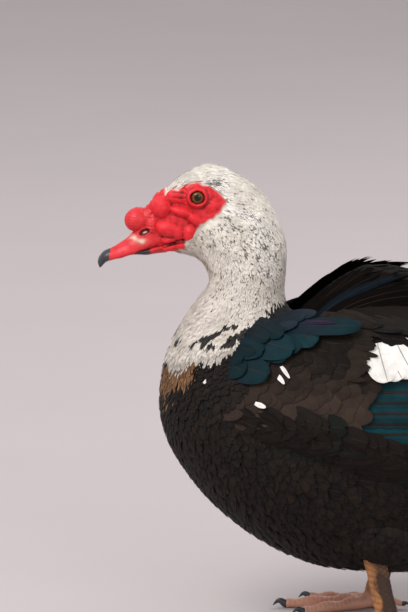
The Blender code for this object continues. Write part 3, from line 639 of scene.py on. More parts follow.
@dataclass
class BodyCoat:
    """The small feathers of head, neck, breast, belly, back and rump."""

    surface: BodySurface
    markings: Markings
    hidden: Callable[[Array], Array]
    sizes: Table = (
        (0, 1.15, 4.5, 0.8), (2, 1.2, 6, 0.925), (4, 1.25, 8, 1.05), (7, 1.45, 9, 1.5), (10, 1.7, 9.5, 2.2),
        (12, 2.1, 12, 3), (13.5, 4.2, 18, 8), (15, 6, 24, 12.5), (20, 7.4, 31, 17), (27, 7.4, 32, 17),
    )

    def size(self, kind: int, u: Array) -> Array:
        """One of the coat's sizes at u: 1 is the distance between roots, 2 the length and 3 the width."""
        table = np.array(self.sizes).T
        return np.interp(u, table[0], table[kind])

    def lay(self, name: str, start: float, end: float, seed: int, material: Material, slot: str) -> None:
        """Covers the body from one section to another.

        Args:
            name: the piece's name.
            start: the first u.
            end: the last u.
            seed: starts the random draws.
            material: the piece's material.
            slot: not used.
        """
        draw = default_rng(seed)
        u, v = self.surface.scatter(partial(self.size, 1), start, end, seed)
        points, _ = self.surface.place(u, v)
        bare = self.markings.mask_edge(points) > draw.uniform(-1.2, 0.4, len(u))
        kept = ~(bare & (u < NECK_TOP)) & ~self.hidden(points)
        u, v, points = u[kept], v[kept], points[kept]
        n = len(u)
        length = self.size(2, u) * draw.uniform(0.8, 1.2, n)
        width = self.size(3, u) * draw.uniform(0.8, 1.2, n)
        turn = draw.normal(0, 0.13, n) + 0.22 * noise(points, 26, 5)
        pitch_u = np.maximum(self.surface.read(self.surface.pitch_u, u, v), 1)
        pitch_v = self.surface.read(self.surface.pitch_v, u, v)
        step = stacked(length * np.cos(turn) / pitch_u, length * np.sin(turn) / pitch_v)
        roots = stacked(u, v)
        bow = stacked(np.zeros(n), draw.normal(0, 0.06, n) * length / pitch_v)
        shown, _ = self.surface.place(u + 0.8 * step[:, 0], v + 0.8 * step[:, 1])
        root_tint, tip_tint = self.markings.tints(shown, seed + 1)
        bright = root_tint.sum(axis=1)
        pale = bright > 0.9
        spotted = pale & (tip_tint.sum(axis=1) < 0.5 * bright)
        width = np.where(spotted, 1.5 * width, width)
        step = step * np.where(spotted, 0.72, 1)[:, None]
        low, high = lie_at(u)
        level = high * draw.uniform(0.1, 1.3, n)
        fine = (u < TRUNK_TOP) | pale | (root_tint[:, 0] > 0.1)
        sparse = draw.uniform(size=n) < np.minimum(1, (self.size(1, u) / VANED_SPACING) ** 2)
        width = np.where(fine, np.minimum(width, 3.6), np.maximum(width, 7))
        for ending, chosen, stations, columns, ragged, tip_start in (
            ("", fine, 4, 2, 0, 0.35), ("_vaned", ~fine & sparse, 8, 7, 0.1, 0.5)
        ):
            if not chosen.any():
                continue
            sheet = Sheet()
            Vanes(
                self.surface.place, roots[chosen], (roots + step / 2 + bow)[chosen], (roots + step)[chosen],
                width[chosen], level[chosen], (level - low)[chosen], root_tint[chosen], tip_tint[chosen],
                ((0, 0), (27, 1)), stations, columns, 0.55, BLUNTEST, camber=0.025 * width[chosen],
                ragged=ragged, tip_start=tip_start, seed=seed + 2,
            ).lay(sheet)
            sheet.made(name + ending, material, slot)


def lie_at(u: Array) -> Arrays:
    """How far body feathers stand off the outer form at u, at the root and at the tip."""
    marks = (0, 4, 8, 13, 17, 27)
    kinds = (Lie.HAIR, Lie.HAIR, Lie.NECK, Lie.NECK, Lie.BODY, Lie.BODY)
    low, high = (np.interp(u, marks, own) for own in zip(*(kind.value for kind in kinds)))
    return low, high


def ring_shell(rings: Array | list[Array]) -> Shell:
    """The vertices and faces of a closed body through rings of equal numbers of points."""
    points = np.array(rings)
    number = np.arange(points.size // 3).reshape(points.shape[:2])
    faces = grid_quads(np.column_stack([number, number[:, 0]])).tolist()
    return points.reshape(-1, 3), faces + [number[0, ::-1].tolist(), number[-1].tolist()]


def ball_shell(bulb: Bulb, side: int = 1, segments: int = 28, rings: int = 20) -> Shell:
    """The vertices and faces of one bulb, as an ellipsoid tipped about x."""
    mesh = bmesh.new()
    bmesh.ops.create_uvsphere(mesh, u_segments=segments, v_segments=rings, radius=1)
    points = np.array([v.co[:] for v in mesh.verts]) * (bulb.across, bulb.along, bulb.up)
    faces = [[v.index for v in face.verts] for face in mesh.faces]
    mesh.free()
    return tipped(points, bulb.tilt) + (side * bulb.x, bulb.y, bulb.z), faces


def bead_shell(centre: Triple, radius: float, segments: int, rings: int) -> Shell:
    """The vertices and faces of a round ball."""
    return ball_shell(Bulb(*centre, radius, radius, radius), 1, segments, rings)


def tube_shell(path: Array, radii: Array, sides: int, flatten: float = 1) -> Shell:
    """The vertices and faces of a closed tube through path, flattened across."""
    path = np.array(path, float)
    rings = []
    for i, point in enumerate(path):
        ahead = unit((path[min(i + 1, len(path) - 1)] - path[max(i - 1, 0)])[None])[0]
        side = np.cross(ahead, (0, 0, 1))
        if np.linalg.norm(side) < 0.3:
            side = np.cross(ahead, (0, 1, 0))
        side = side / np.linalg.norm(side)
        up = np.cross(side, ahead)
        turns = math.tau * np.arange(sides) / sides
        circle = np.outer(np.cos(turns) * flatten, side) + np.outer(np.sin(turns), up)
        rings.append(point + radii[i] * circle)
    return ring_shell(rings)


def wrapped(shells: list[Shell], voxel: float, smoothing: int) -> tuple[Array, Array, Array]:
    """Wraps overlapping shells in one even skin and rounds the creases between them.

    Args:
        shells: vertices and faces of each closed shell, in millimetres.
        voxel: the size of the skin's faces.
        smoothing: how many times the skin is relaxed.

    Returns:
        The skin's points, its quads and its normals.
    """
    points, faces, start = [], [], 0
    for own, polygons in shells:
        points.append(own)
        faces += [[i + start for i in polygon] for polygon in polygons]
        start += len(own)
    mesh = bpy.data.meshes.new("wrap")
    mesh.from_pydata(np.vstack(points).tolist(), [], faces)
    bulk = bmesh.new()
    bulk.from_mesh(mesh)
    bmesh.ops.recalc_face_normals(bulk, faces=bulk.faces)
    bulk.to_mesh(mesh)
    bulk.free()
    obj = linked("wrap", mesh)
    remesh = obj.modifiers.new("remesh", "REMESH")
    remesh.mode = "VOXEL"
    remesh.voxel_size = voxel
    relax = obj.modifiers.new("relax", "SMOOTH")
    relax.factor, relax.iterations = 0.5, smoothing
    made = bpy.data.meshes.new_from_object(obj.evaluated_get(bpy.context.evaluated_depsgraph_get()))
    co = np.zeros(len(made.vertices) * 3)
    made.vertices.foreach_get("co", co)
    normals = np.zeros(len(made.vertices) * 3)
    made.vertex_normals.foreach_get("vector", normals)
    quads = np.array([p.vertices[:] for p in made.polygons if len(p.vertices) == 4])
    bpy.data.objects.remove(obj)
    bpy.data.meshes.remove(mesh)
    bpy.data.meshes.remove(made)
    return co.reshape(-1, 3), quads, normals.reshape(-1, 3)


def cavities(points: Array, quads: Array, normals: Array, rounds: int) -> Array:
    """How deep each vertex lies in a crease, from how far its smoothed neighbourhood stands above it.

    Args:
        points: the skin's vertices, in millimetres.
        quads: its faces.
        normals: its normals.
        rounds: how many times the neighbourhood is averaged, which sets how wide a crease counts.

    Returns:
        A depth in millimetres for each vertex, below zero on bulges.
    """
    starts = np.concatenate([quads[:, k] for k in range(4)])
    ends = np.concatenate([quads[:, (k + 1) % 4] for k in range(4)])
    number = len(points)
    joined = np.maximum(np.bincount(starts, minlength=number), 1)
    smooth = points.copy()
    for _ in range(rounds):
        sums = [np.bincount(starts, weights=smooth[ends, axis], minlength=number) for axis in range(3)]
        smooth = stacked(*sums) / joined[:, None]
    return ((smooth - points) * normals).sum(axis=1)


def line_distance(y: Array, z: Array, line: Line) -> Arrays:
    """The distance from each (y, z) to a line, and the share of the line's length at the nearest place."""
    nearest, share_at = np.full(len(y), 1e9), np.zeros(len(y))
    for i, ((y0, z0), (y1, z1)) in enumerate(zip(line[:-1], line[1:])):
        length = (y1 - y0) ** 2 + (z1 - z0) ** 2
        t = np.clip(((y - y0) * (y1 - y0) + (z - z0) * (z1 - z0)) / length, 0, 1)
        d = np.hypot(y - y0 - t * (y1 - y0), z - z0 - t * (z1 - z0))
        share_at = np.where(d < nearest, (i + t) / (len(line) - 1), share_at)
        nearest = np.minimum(nearest, d)
    return nearest, share_at


@dataclass
class Face:
    """The head's bare red skin with its swellings, folds and lids, and the flesh below the head feathers.

    mouth is the line of the bill's edge over (y, z), and brow holds y, z and radius of the beads by the eye.
    """

    surface: BodySurface
    markings: Markings
    voxel: float = 0.72
    opening: Pair = (6.5, 6)
    lid_radius: float = 7.3
    bead_count: int = 26
    mouth: Line = (
        (-306, 324), (-293, 326.6), (-281, 330.4), (-268, 334), (-254, 338.2), (-246, 341.2), (-238, 343.3),
        (-231, 343.8),
    )
    bulbs: tuple[Bulb, ...] = rows_of(
        Bulb, (10, -238, 363, 25, 11.6, 18, -12), (12, -254.2, 374.3, 9.9, 12.2, 10.6, 10),
        (14.5, -247.8, 355.6, 13, 11.6, 8.6, -8), (17, -240.5, 353, 7.6, 8.6, 8, 0),
        (18.6, -229.5, 352, 6.6, 7.6, 8.6, -14), (17, -235.5, 371, 12.5, 9.6, 5.2, -14),
        (17.5, -224, 364.5, 12, 9, 6, -32), (14, -221.5, 384, 17, 12.3, 13.6, 0),
        (14.2, -241, 384, 10, 5.2, 8, 0), (15.5, -209, 376, 12, 9.6, 10, 20),
        (15, -236.5, 341, 7.6, 6.2, 4.4, 10), (13, -247, 338.2, 8.4, 6, 3.6, 14),
        (12.6, -246.5, 346, 10, 8.4, 4, 14),
    )
    brow: Table = (
        (-266, 371, 3.6), (-263, 375.2, 3.4), (-260.2, 378.4, 3), (-257, 382, 3.2), (-254, 385.4, 2.8),
        (-250.8, 388.4, 2.6), (-247, 390.4, 2.2), (-258, 379, 3.6), (-262, 372.6, 4.4),
    )

    def shells(self) -> list[Shell]:
        """The closed shells that the head's skin wraps."""
        us = np.linspace(0, 7, 50)
        made = [self.surface.shell(us, -0.9 - 2 * ramp(2.5, 6, us), 72)]
        draw = default_rng(SEED)
        for side in Side:
            s = side.value
            made += [ball_shell(bulb, s) for bulb in self.bulbs]
            for y, z, radius in self.brow:
                made.append(bead_shell((s * draw.uniform(2.4, 5.6), y, z), radius, 14, 10))
            for _ in range(self.bead_count):
                y, z = draw.uniform(-262, -248), draw.uniform(362, 386)
                radius = draw.uniform(0.9, 1.7)
                x = 9.4 * math.sqrt(max(0.05, 1 - ((y + 254) / 11.5) ** 2 - ((z - 374.5) / 12.5) ** 2)) + 11
                if x > 14.5:
                    made.append(bead_shell((s * (x - 0.9), y, z), radius, 10, 8))
        return made

    def relief(self, points: Array) -> Array:
        """How far the bare skin is raised by folds and wrinkles, in millimetres."""
        x, y, z = points.T
        _, eye_y, eye_z = EYE
        away = np.hypot(y - eye_y, z - eye_z)
        bearing = np.arctan2(z - eye_z, -(y - eye_y))
        soft = noise(points, 5, 11)
        rays = np.abs(np.sin(bearing * 10 + 0.9 * soft + 0.05 * away))
        front = ramp(9, 12, away) * ramp(26, 19, away) * ramp(-228, -233, y)
        front = front * ramp(-0.5, -0.1, bearing)
        rings = np.sin(away * math.tau / 2.1 + 3.2 * soft) + np.sin(bearing * 15 + 2.6 * soft)
        behind = ramp(9, 11.5, away) * ramp(-224, -216, y)
        behind = behind * ramp(-0.5, 0.4, noise(points, 7, 16))
        fine = noise(points, 1.5, 13) * 0.1 + noise(points, 3.2, 14) * 0.16
        low = ramp(350, 345, z) * ramp(-262, -252, y)
        strings = np.sin((z - 0.3 * y) * math.tau / 4.1 + 2.4 * soft) * low
        lid = np.exp(-(((away - 10.4) / 0.9) ** 2)) * -0.45
        return 0.8 * front * (rays**0.6 - 1) + 0.1 * behind * rings + fine + 0.28 * strings + lid

    def make(self, trunk: Arrays, material: Material) -> Piece:
        """Builds the one skin of head, neck and trunk.

        Args:
            trunk: points and quads of the coarser skin that joins this one under the feathers.
            material: the skin's material.

        Returns:
            The skin.
        """
        points, quads, normals = wrapped(self.shells(), self.voxel, 5)
        bare = self.markings.mask_edge(points)
        share = ramp(-1, 2, bare)
        points = points + normals * (self.relief(points) * share - 1 * (1 - share))[:, None]
        x, y, z = points.T
        eye_x, eye_y, eye_z = EYE
        across = np.hypot((y - eye_y) / self.opening[0], (z - eye_z) / self.opening[1])
        rim = np.hypot((y - eye_y) / 1.06, z - eye_z)
        lid = 1.15 * np.exp(-(((rim - self.lid_radius) / 1) ** 2)) * (np.abs(x) > eye_x)
        points = points + normals * lid[:, None]
        inner = np.sqrt(np.clip((EYE_RADIUS - 1.2) ** 2 - (y - eye_y) ** 2 - (z - eye_z) ** 2, 0, None))
        sunk = (across < 1) & (np.abs(x) > eye_x)
        points[sunk, 0] = np.sign(x[sunk]) * (eye_x + inner[sunk])
        gap, _ = line_distance(y, z, self.mouth)
        crease = 1.7 * np.exp(-((gap / 0.75) ** 2)) * (np.abs(x) > 6) * (y < -229)
        points = points - normals * crease[:, None]
        # Painted shade: the bare skin is darkened in its folds, in the grooves of its wrinkles and along the
        # mouth's crease.
        folds = cavities(points, quads, normals, 14) - cavities(points, quads, normals, 60) * 0.1
        depth = np.clip(0.1 + 2.4 * folds - self.relief(points) * 1.3, 0, 2) * share + 0.6 * crease
        rest, faces = trunk
        whole = np.vstack([points, rest])
        under = np.zeros(len(rest))
        values = {"bare": np.append(share, under), "painted_shade_and_soot": np.append(depth, under)}
        values["bib"] = ramp(-2, 3, whole[:, 2] - height_on(self.markings.bib, whole[:, 1]) - 4)
        return piece("skin", whole, np.vstack([quads, faces + len(points)]), values, material)


@dataclass
class Bill:
    """The bill with its knob, the nostrils, the fine plates along its edges and the dark nail."""

    sections: tuple[Section, ...] = rows_of(
        Section, (-252, 372, -250.3, 338, 12.6, 0.75), (-262.3, 370.4, -260.3, 336, 13.4, 0.75),
        (-274, 358, -269, 333.4, 13, 0.8), (-286, 345, -281, 330, 13.6, 0.8),
        (-296, 338, -293, 326.2, 12.8, 0.78), (-302, 334.5, -300, 324.3, 9.8, 0.68),
        (-305, 332.6, -303.4, 323.2, 8.4, 0.6),
    )
    nail: tuple[Section, ...] = rows_of(
        Section, (-299.6, 335.2, -298.6, 326, 8.4, 0.6), (-304, 334, -302.4, 323.6, 8.9, 0.6),
        (-308, 331.9, -306, 321.8, 7.9, 0.58), (-311.8, 327.2, -309, 318.4, 6, 0.5),
        (-313.2, 322.6, -311, 316.8, 3.8, 0.5), (-312.4, 319.4, -311.2, 317, 1.4, 0.5),
    )
    lower: tuple[Section, ...] = rows_of(
        Section, (-250.3, 341.4, -250.1, 331.2, 11.6, 0.4), (-260.3, 339, -260.1, 330.2, 12.3, 0.4),
        (-269, 336.2, -268, 329, 12.4, 0.4), (-277, 334.6, -276.5, 329.4, 11.9, 0.4),
        (-284, 332.6, -284, 328.8, 11, 0.4), (-293, 329.5, -292.5, 325.8, 9, 0.4),
        (-301, 327, -300.5, 324.8, 5, 0.4),
    )
    knob: tuple[Bulb, ...] = rows_of(
        Bulb, (0, -276.7, 361.3, 12.3, 12.2, 10.9, 20), (0, -266.5, 363.2, 9.5, 11, 9.6, 0),
        (4.4, -266.5, 372, 2.6, 2.6, 2.6, 0), (-3.6, -267, 372, 2.4, 2.4, 2.4, 0),
        (7.6, -264.6, 369, 2.4, 2.4, 2.4, 0), (-7.6, -265.2, 369.4, 2.6, 2.6, 2.6, 0),
        (0, -262, 359, 7, 13.4, 13, 0), (8, -263.5, 356, 6.4, 6.6, 9, 16),
        (-8, -263.5, 356, 6.4, 6.6, 9, 16),
    )
    nostril: Pair = (-270.6, 351.3)
    nostril_tilt: float = 26.0

    def make(self, paint: dict[str, Material]) -> None:
        """Builds the upper bill, the nail and the lower bill."""
        shells = [ball_shell(bulb, 1, 40, 28) for bulb in self.knob]
        shells.insert(0, ring_shell(section_rings(self.sections, 6, 56)))
        points, quads, normals = wrapped(shells, 0.62, 3)
        x, y, z = points.T
        turn = math.radians(self.nostril_tilt)
        along = (y - self.nostril[0]) * math.cos(turn) + (z - self.nostril[1]) * math.sin(turn)
        up = -(y - self.nostril[0]) * math.sin(turn) + (z - self.nostril[1]) * math.cos(turn)
        oval = np.hypot(along / 5, up / 2.5)
        hole = ramp(1.12, 0.78, oval)
        nostril_light_slit = np.hypot((along + 0.4) / 5, (up - 0.5) / 1.9)
        rim = 0.75 * np.exp(-(((oval - 1.32) / 0.22) ** 2))
        gap, _ = line_distance(y, z, Face.mouth)
        plates = ramp(3.4, 1.6, gap) * ramp(0.2, 0.9, gap) * (np.abs(x) > 5) * (z < 345)
        plate_relief = 0.22 * np.sin(y * math.tau / 1.7) * plates
        grain = 0.07 * noise(points, 1.3, 21) + 0.14 * noise(points, 4.5, 22)
        knob = ramp(345, 350, z) * ramp(-292, -284, y)
        lines = np.sin(math.tau * (z + 0.15 * y) / 2.6 + 1.4 * noise(points, 6, 23))
        streaks = 0.12 * lines * knob
        relief = grain + streaks + rim + plate_relief - 2.6 * hole * (np.abs(x) > 3)
        points = points + normals * relief[:, None]
        pale = 0.8 * spot(points, -280.5, 345.6, 4.2, 2.2) + 0.9 * spot(points, -273, 342.6, 4.4, 2.5)
        # The last term is painted light: a pale crescent in the nostril, where light shows through it.
        pale = pale * (0.9 + 0.6 * noise(points, 2.6, 24)) + 1.6 * ramp(0.46, 0.2, nostril_light_slit)
        # Painted shade: the knob's folds, the sunk nostril and the line of the mouth are darkened.
        folds = np.clip(1.6 * cavities(points, quads, normals, 10) * knob, 0, 1)
        values = {
            "pale": np.clip(pale, 0, 1),
            "painted_shade_and_soot": folds + np.clip(hole * 2.8 + 0.35 * np.exp(-((gap / 0.6) ** 2)) * (y > -304), 0, 2.4),
        }
        upper = piece("bill", points, quads, values, paint["bill"])
        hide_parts("bill_upper")
        points, quads, normals = wrapped([ring_shell(section_rings(self.nail, 6, 40))], 0.42, 3)
        points = points + normals * (0.06 * noise(points, 2, 25))[:, None]
        nail = piece("nail", points, quads, {}, paint["nail"])
        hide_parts("bill_nail")
        points, quads, normals = wrapped([ring_shell(section_rings(self.lower, 6, 40))], 0.62, 2)
        gap, _ = line_distance(points[:, 1], points[:, 2], Face.mouth)
        ridges = 0.2 * np.sin(points[:, 1] * math.tau / 1.7) * ramp(3, 1, gap)
        points = points + normals * ridges[:, None]
        dark = ramp(8.5, 5, np.abs(points[:, 1] + 272))
        lower = piece("bill_under", points, quads, {"dark": dark}, paint["bill_under"])
        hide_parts("bill_lower")


@dataclass
class Eyes:
    """The two eyeballs, each with a bulge over its iris."""

    iris: float = 5.9
    segments: int = 64

    def make(self, material: Material) -> None:
        """Builds both eyes."""
        for side in Side:
            points, faces = bead_shell((0, 0, 0), 1, self.segments, 48)
            radial = np.hypot(points[:, 1], points[:, 2]) * EYE_RADIUS
            bulge = 0.7 * ramp(self.iris + 0.6, 0, radial) * (points[:, 0] * side.value > 0)
            points = points * (EYE_RADIUS + bulge)[:, None]
            values = {
                "from_axis": np.where(points[:, 0] * side.value > 0, radial, 20),
                "bearing": np.arctan2(points[:, 2], points[:, 1]),
            }
            centre = (side.value * EYE[0], *EYE[1:])
            eye = piece("eyeball_" + side.word, points + centre, faces, values, material)
            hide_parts("eye_" + side.word)


@dataclass(frozen=True)
class Row:
    """One row of large feathers whose roots and tips run evenly along two lines of the surface.

    tint colours the inner part of each feather and tip_tint its tip, and each feather lies higher than the
    one before it by layer. Lengths are in millimetres, apart from camber, a share of the width.
    """

    count: int
    root_start: Pair
    root_end: Pair
    tip_start: Pair
    tip_end: Pair
    width: float
    lift: float
    tint: Array
    tip_tint: Array
    gloss: float = 0.0
    rise: float = 2.0
    droop: float = 0.0
    blunt: float = 0.04
    tip_from: float = 0.62
    full: float = 0.6
    jitter: float = 1.5
    layer: float = 0.35
    spread: float = 0.14
    camber: float = 0.035

    def lowered(self, drop: float) -> "Row":
        """The same row, this much lower on its surface."""
        names = ("root_start", "root_end", "tip_start", "tip_end")
        ends = {name: getattr(self, name) for name in names}
        return replace(self, **{name: (y, z - drop) for name, (y, z) in ends.items()})


def lone(root: Pair, tip: Pair, width: float, lift: float, *look: Array | float, **shape: float) -> Row:
    """A row of one large feather, which takes the rest of a row's values."""
    return Row(1, root, root, tip, tip, width, lift, *look, **{"jitter": 0.1, **shape})


def lay_rows(place: Place, rows: tuple[Row, ...], sheet: Sheet, area: tuple[Pair, Pair], seed: int) -> None:
    """Lays rows of large feathers on a surface.

    Args:
        place: the surface.
        rows: the rows, the lowest first.
        sheet: takes the feathers.
        area: the start and the size of the bake map on the surface.
        seed: starts the random draws.
    """
    draw = default_rng(seed)
    for number, row in enumerate(rows):
        share = (np.arange(row.count) / max(1, row.count - 1))[:, None]
        roots = np.array(row.root_start) * (1 - share) + np.array(row.root_end) * share
        tips = np.array(row.tip_start) * (1 - share) + np.array(row.tip_end) * share
        tips = tips + draw.normal(0, row.jitter, tips.shape)
        bends = (roots + tips) / 2 + np.array([0, row.droop]) + draw.normal(0, row.jitter * 0.6, tips.shape)
        level = row.lift + row.layer * np.arange(row.count)
        rooted, _ = place(roots[:, 0], roots[:, 1])
        shade = draw.uniform(1 - row.spread, 1 + row.spread, (row.count, 1))
        shade = shade * (1 + 1.6 * row.spread * noise(rooted, 26, 15)[:, None])
        Vanes(
            place, roots, bends, tips, row.width * draw.uniform(0.93, 1.07, row.count), level, row.rise,
            row.tint * shade, row.tip_tint * shade, area, 16, 9, row.full, row.blunt,
            row.camber * row.width, row.gloss, 0.022, row.tip_from, seed + number,
        ).lay(sheet)


@dataclass
class WingFace:
    """The folded wing's outer face over (y, z). Each station holds y, half width, ridge and lower edge."""

    side: Side
    stations: Table = (
        (-212, 80, 243, 205), (-165, 100, 272, 196), (-110, 113, 293, 182), (-50, 118, 298, 166),
        (20, 111, 289, 160), (80, 93, 272, 174), (120, 76, 256, 194),
    )
    widest_z: float = 172.0
    ridge_x: float = 34.0
    smooth: Array = field(init=False)

    def __post_init__(self) -> None:
        self.smooth = spline(self.stations, 6)

    def size_at(self, column: int, y: Array) -> Array:
        """One of the wing's sizes at y: 1 is the half width, 2 the ridge and 3 the lower edge."""
        ys, sizes = self.smooth[:, 0], self.smooth[:, column]
        slope = (sizes[-1] - sizes[-7]) / (ys[-1] - ys[-7])
        return np.interp(y, ys, sizes) + slope * np.maximum(np.asarray(y) - ys[-1], 0)

    def across(self, y: Array, z: Array) -> Array:
        """The distance of the face from the middle plane."""
        half_width, ridge = self.size_at(1, y), self.size_at(2, y)
        reach = (ridge - self.widest_z) / np.sqrt(1 - (self.ridge_x / half_width) ** 2)
        share = (z - self.widest_z) / np.where(z > self.widest_z, reach, reach * 1.4)
        inside = 1 - share**2
        floor = 0.02
        tuck = 0.02 * np.maximum(0, self.size_at(3, y) + 1 - z) ** 2
        return half_width * np.sqrt(np.maximum(inside, floor)) - 30 * np.maximum(0, floor - inside) - tuck

    def place(self, y: Array, z: Array) -> Arrays:
        """The points and outward normals at (y, z)."""
        step = 1.5
        x = self.across(y, z)
        slope_y = (self.across(y + step, z) - self.across(y - step, z)) / (2 * step)
        slope_z = (self.across(y, z + step) - self.across(y, z - step)) / (2 * step)
        normal = stacked(np.ones_like(x), -np.clip(slope_y, -2.2, 2.2), -np.clip(slope_z, -2.2, 2.2))
        sign = np.array([self.side.value, 1, 1])
        return stacked(self.side.value * x, y + 0 * x, z + 0 * x), unit(normal) * sign

    def hides(self, points: Array) -> Array:
        """Which body feathers lie fully below the folded wing."""
        x, y, z = points.T
        low, ridge = self.size_at(3, y), self.size_at(2, y)
        within = (y > -196) & (y < 112) & (z > low + 16) & (z < ridge - 26)
        return within & (x * self.side.value > 30) & (np.abs(x) < self.across(y, z) + 2)

    def core(self) -> Shell:
        """The closed shell of the wing below its feathers."""
        rings = []
        for y in np.linspace(self.stations[0][0] + 8, self.stations[-1][0] - 8, 24):
            low = float(self.size_at(3, y)) + 6
            ridge = float(self.size_at(2, y)) - 6 - 16 * float(ramp(10, 90, y))
            heights = np.linspace(low, ridge, 14)
            outer, normal = self.place(np.full(14, y), heights)
            inner = np.array([(12, y, ridge - 20), (10, y, (low + ridge) / 2), (40, y, low + 6)])
            rings.append(np.vstack([outer - normal * 5, inner * (self.side.value, 1, 1)]))
        return ring_shell(rings)


FLANK_TOP = (
    (-222, 214), (-204, 210), (-169, 199), (-145, 201), (-111, 203), (-82, 190), (-56, 174), (0, 160),
    (74, 158),
)
WHITE_TIPS = (
    ((-148, 242), (-139, 231), 3.8, 4.6), ((-152, 235), (-144, 226), 4.8, 4.4),
    ((-170, 209), (-160, 206), 4.8, 5.2), ((-217, 219), (-208, 225), 3.6, 9),
)


@dataclass
class Wing:
    """One folded wing: covert rows, green speculum, long quills, and the shoulder feathers over them."""

    face: WingFace
    shoulder_drop: float = 0.0
    flank_count: int = 400
    area: tuple[Pair, Pair] = ((-235, 110), (450, 200))

    def rows(self) -> tuple[Row, ...]:
        """Every row of the folded wing, the lowest first."""
        shade = UMBER * 0.45
        soft = dict(blunt=0.1, tip_from=0.55, full=0.62, jitter=3.2, layer=0.05, spread=0.16, camber=0.014)
        rows = [
            Row(8, (10, 178), (36, 208), (104, 182), (186, 224), 26, -1.6, BLACK * 1.8, BLACK, 0.3, 3, 4,
                BLUNTEST),
            Row(9, (-104, 238), (-66, 166), (60, 240), (90, 160), 17, -0.8, TEAL * 0.85, TEAL, 0.7, 3, 2,
                BLUNTEST, 0.9, 0.85, 0.5, 0.3, 0.3),
            Row(9, (-104, 240.4), (-66, 168.4), (60, 242.4), (90, 162.4), 2.2, 0.1, shade * 2.4, BROWN, 0, 3,
                2, BLUNTEST, 0.9, 0.85, 0.3, 0.3, 0.2),
            Row(4, (-74, 240), (-52, 262), (116, 232), (98, 256), 32, 0.8, NAVY * 0.8, GREEN, 0.5, 4, 6,
                BLUNTEST),
            Row(16, (-170, 262), (-60, 294), (-120, 250), (10, 272), 30, 1.6, shade, shade * 0.8, 0.05, 3,
                **soft),
            Row(14, (-160, 250), (-70, 262), (-112, 240), (-28, 250), 26, 1.9, shade, shade * 0.9, 0.05, 3,
                **soft),
        ]
        steps = 9
        for k in range(steps):
            share = k / (steps - 1)
            front = (-86 - 92 * share, 176 + 22 * share)
            rear = (-60 - 78 * share, 230 + 18 * share)
            reach = 46 - 10 * share
            low, high = BROWN * (1.25 - 0.3 * share), UMBER * (0.7 - 0.2 * share)
            count = 11 - k // 3
            climb = np.linspace(0, 1, count)[:, None] ** 1.1
            tint = low * (1 - climb) + high * climb
            roots = (front[0] - reach, front[1] + 4), (rear[0] - reach - 4, rear[1] + 12)
            width, lift, tip_tint = 21 - 2 * share, 1 + 0.22 * k, tint * (1.1 - 0.25 * share)
            rows.append(Row(count, *roots, front, rear, width, lift, tint, tip_tint, rise=2.6, **soft))
        return tuple(rows)

    def white_rows(self) -> tuple[Row, ...]:
        """The white coverts, the dark pointed ones that cut into them, and the small white tips in front."""
        dark = UMBER * 1.1
        pointed = dict(gloss=0.05, rise=7, full=0.6)
        return (
            Row(5, (-24, 266), (44, 264), (0, 239), (76, 236), 36, 2.6, WHITE, WHITE, 0, 3, -3, tip_from=0.45,
                full=0.8, layer=0.2, spread=0.04),
            Row(4, (-58, 266), (-26, 268), (-40, 233), (-8, 236), 34, 3.4, WHITE, WHITE, 0, 3, -2,
                tip_from=0.5, full=0.9, layer=0.15, spread=0.03, jitter=0.6),
            lone((-62, 262), (-53, 230), 30, 4.2, WHITE, WHITE, 0, 3, -2, tip_from=0.5, full=0.85,
                 spread=0.02, jitter=0.2),
            Row(10, (-106, 240), (-96, 288), (-71, 236), (-58, 275), 8, 4.9, dark, dark, tip_from=0.1,
                layer=0.04, jitter=2.6, **pointed),
            Row(8, (-112, 236), (-104, 284), (-76, 234), (-62, 272), 13, 4.4, dark, dark, tip_from=0.3,
                layer=0.04, jitter=2, **pointed),
            Row(11, (-112, 284), (30, 290), (-56, 272), (80, 262), 17, 5.2, dark, BLACK, tip_from=0.25,
                layer=0.05, jitter=2.6, **pointed),
            *(lone(*tip, WHITE, WHITE, tip_from=0.2) for tip in WHITE_TIPS),
        )

    def lay_flank(self, sheet: Sheet) -> None:
        """Lays the soft dark feathers of the flank, which lap over the wing's lower edge."""
        draw = default_rng(SEED + 3)
        n = self.flank_count
        y = draw.uniform(-196, 74, n)
        top = height_on(FLANK_TOP, y)
        low = self.face.size_at(3, y)
        depth = draw.uniform(0, 1, n) ** 0.8
        z = top - 3 - depth * (top - low + 38)
        roots = stacked(y - 24, z + 3)
        length = draw.uniform(30, 42, n)
        fall = draw.normal(-0.1, 0.1, n) - 0.12 * depth
        tips = roots + stacked(length * np.cos(fall), length * np.sin(fall))
        bends = (roots + tips) / 2 + stacked(np.zeros(n), draw.normal(1.2, 1.5, n))
        points, _ = self.face.place(roots[:, 0], roots[:, 1])
        green = ramp(-0.1, 0.7, noise(points, 26, 12)) * (1 - 0.7 * depth)
        green = (green * ramp(-200, -170, y))[:, None]
        tint = (UMBER * 0.45 + BLACK * 0.5) * (1 - green) + GREEN * 0.8 * green
        tint = tint * draw.uniform(0.85, 1.15, (n, 1))
        level = 3.8 - 3 * depth + draw.uniform(-0.3, 0.3, n)
        level = level - 2.5 * ramp(-170, -196, y)
        Vanes(
            self.face.place, roots, bends, tips, draw.uniform(19, 27, n), level, 4.5, tint, tint * 0.85,
            self.area, 9, 7, full=0.6, blunt=0.1, camber=0.5, gloss=0.2, ragged=0.1, tip_start=0.5,
            seed=SEED + 4,
        ).lay(sheet)

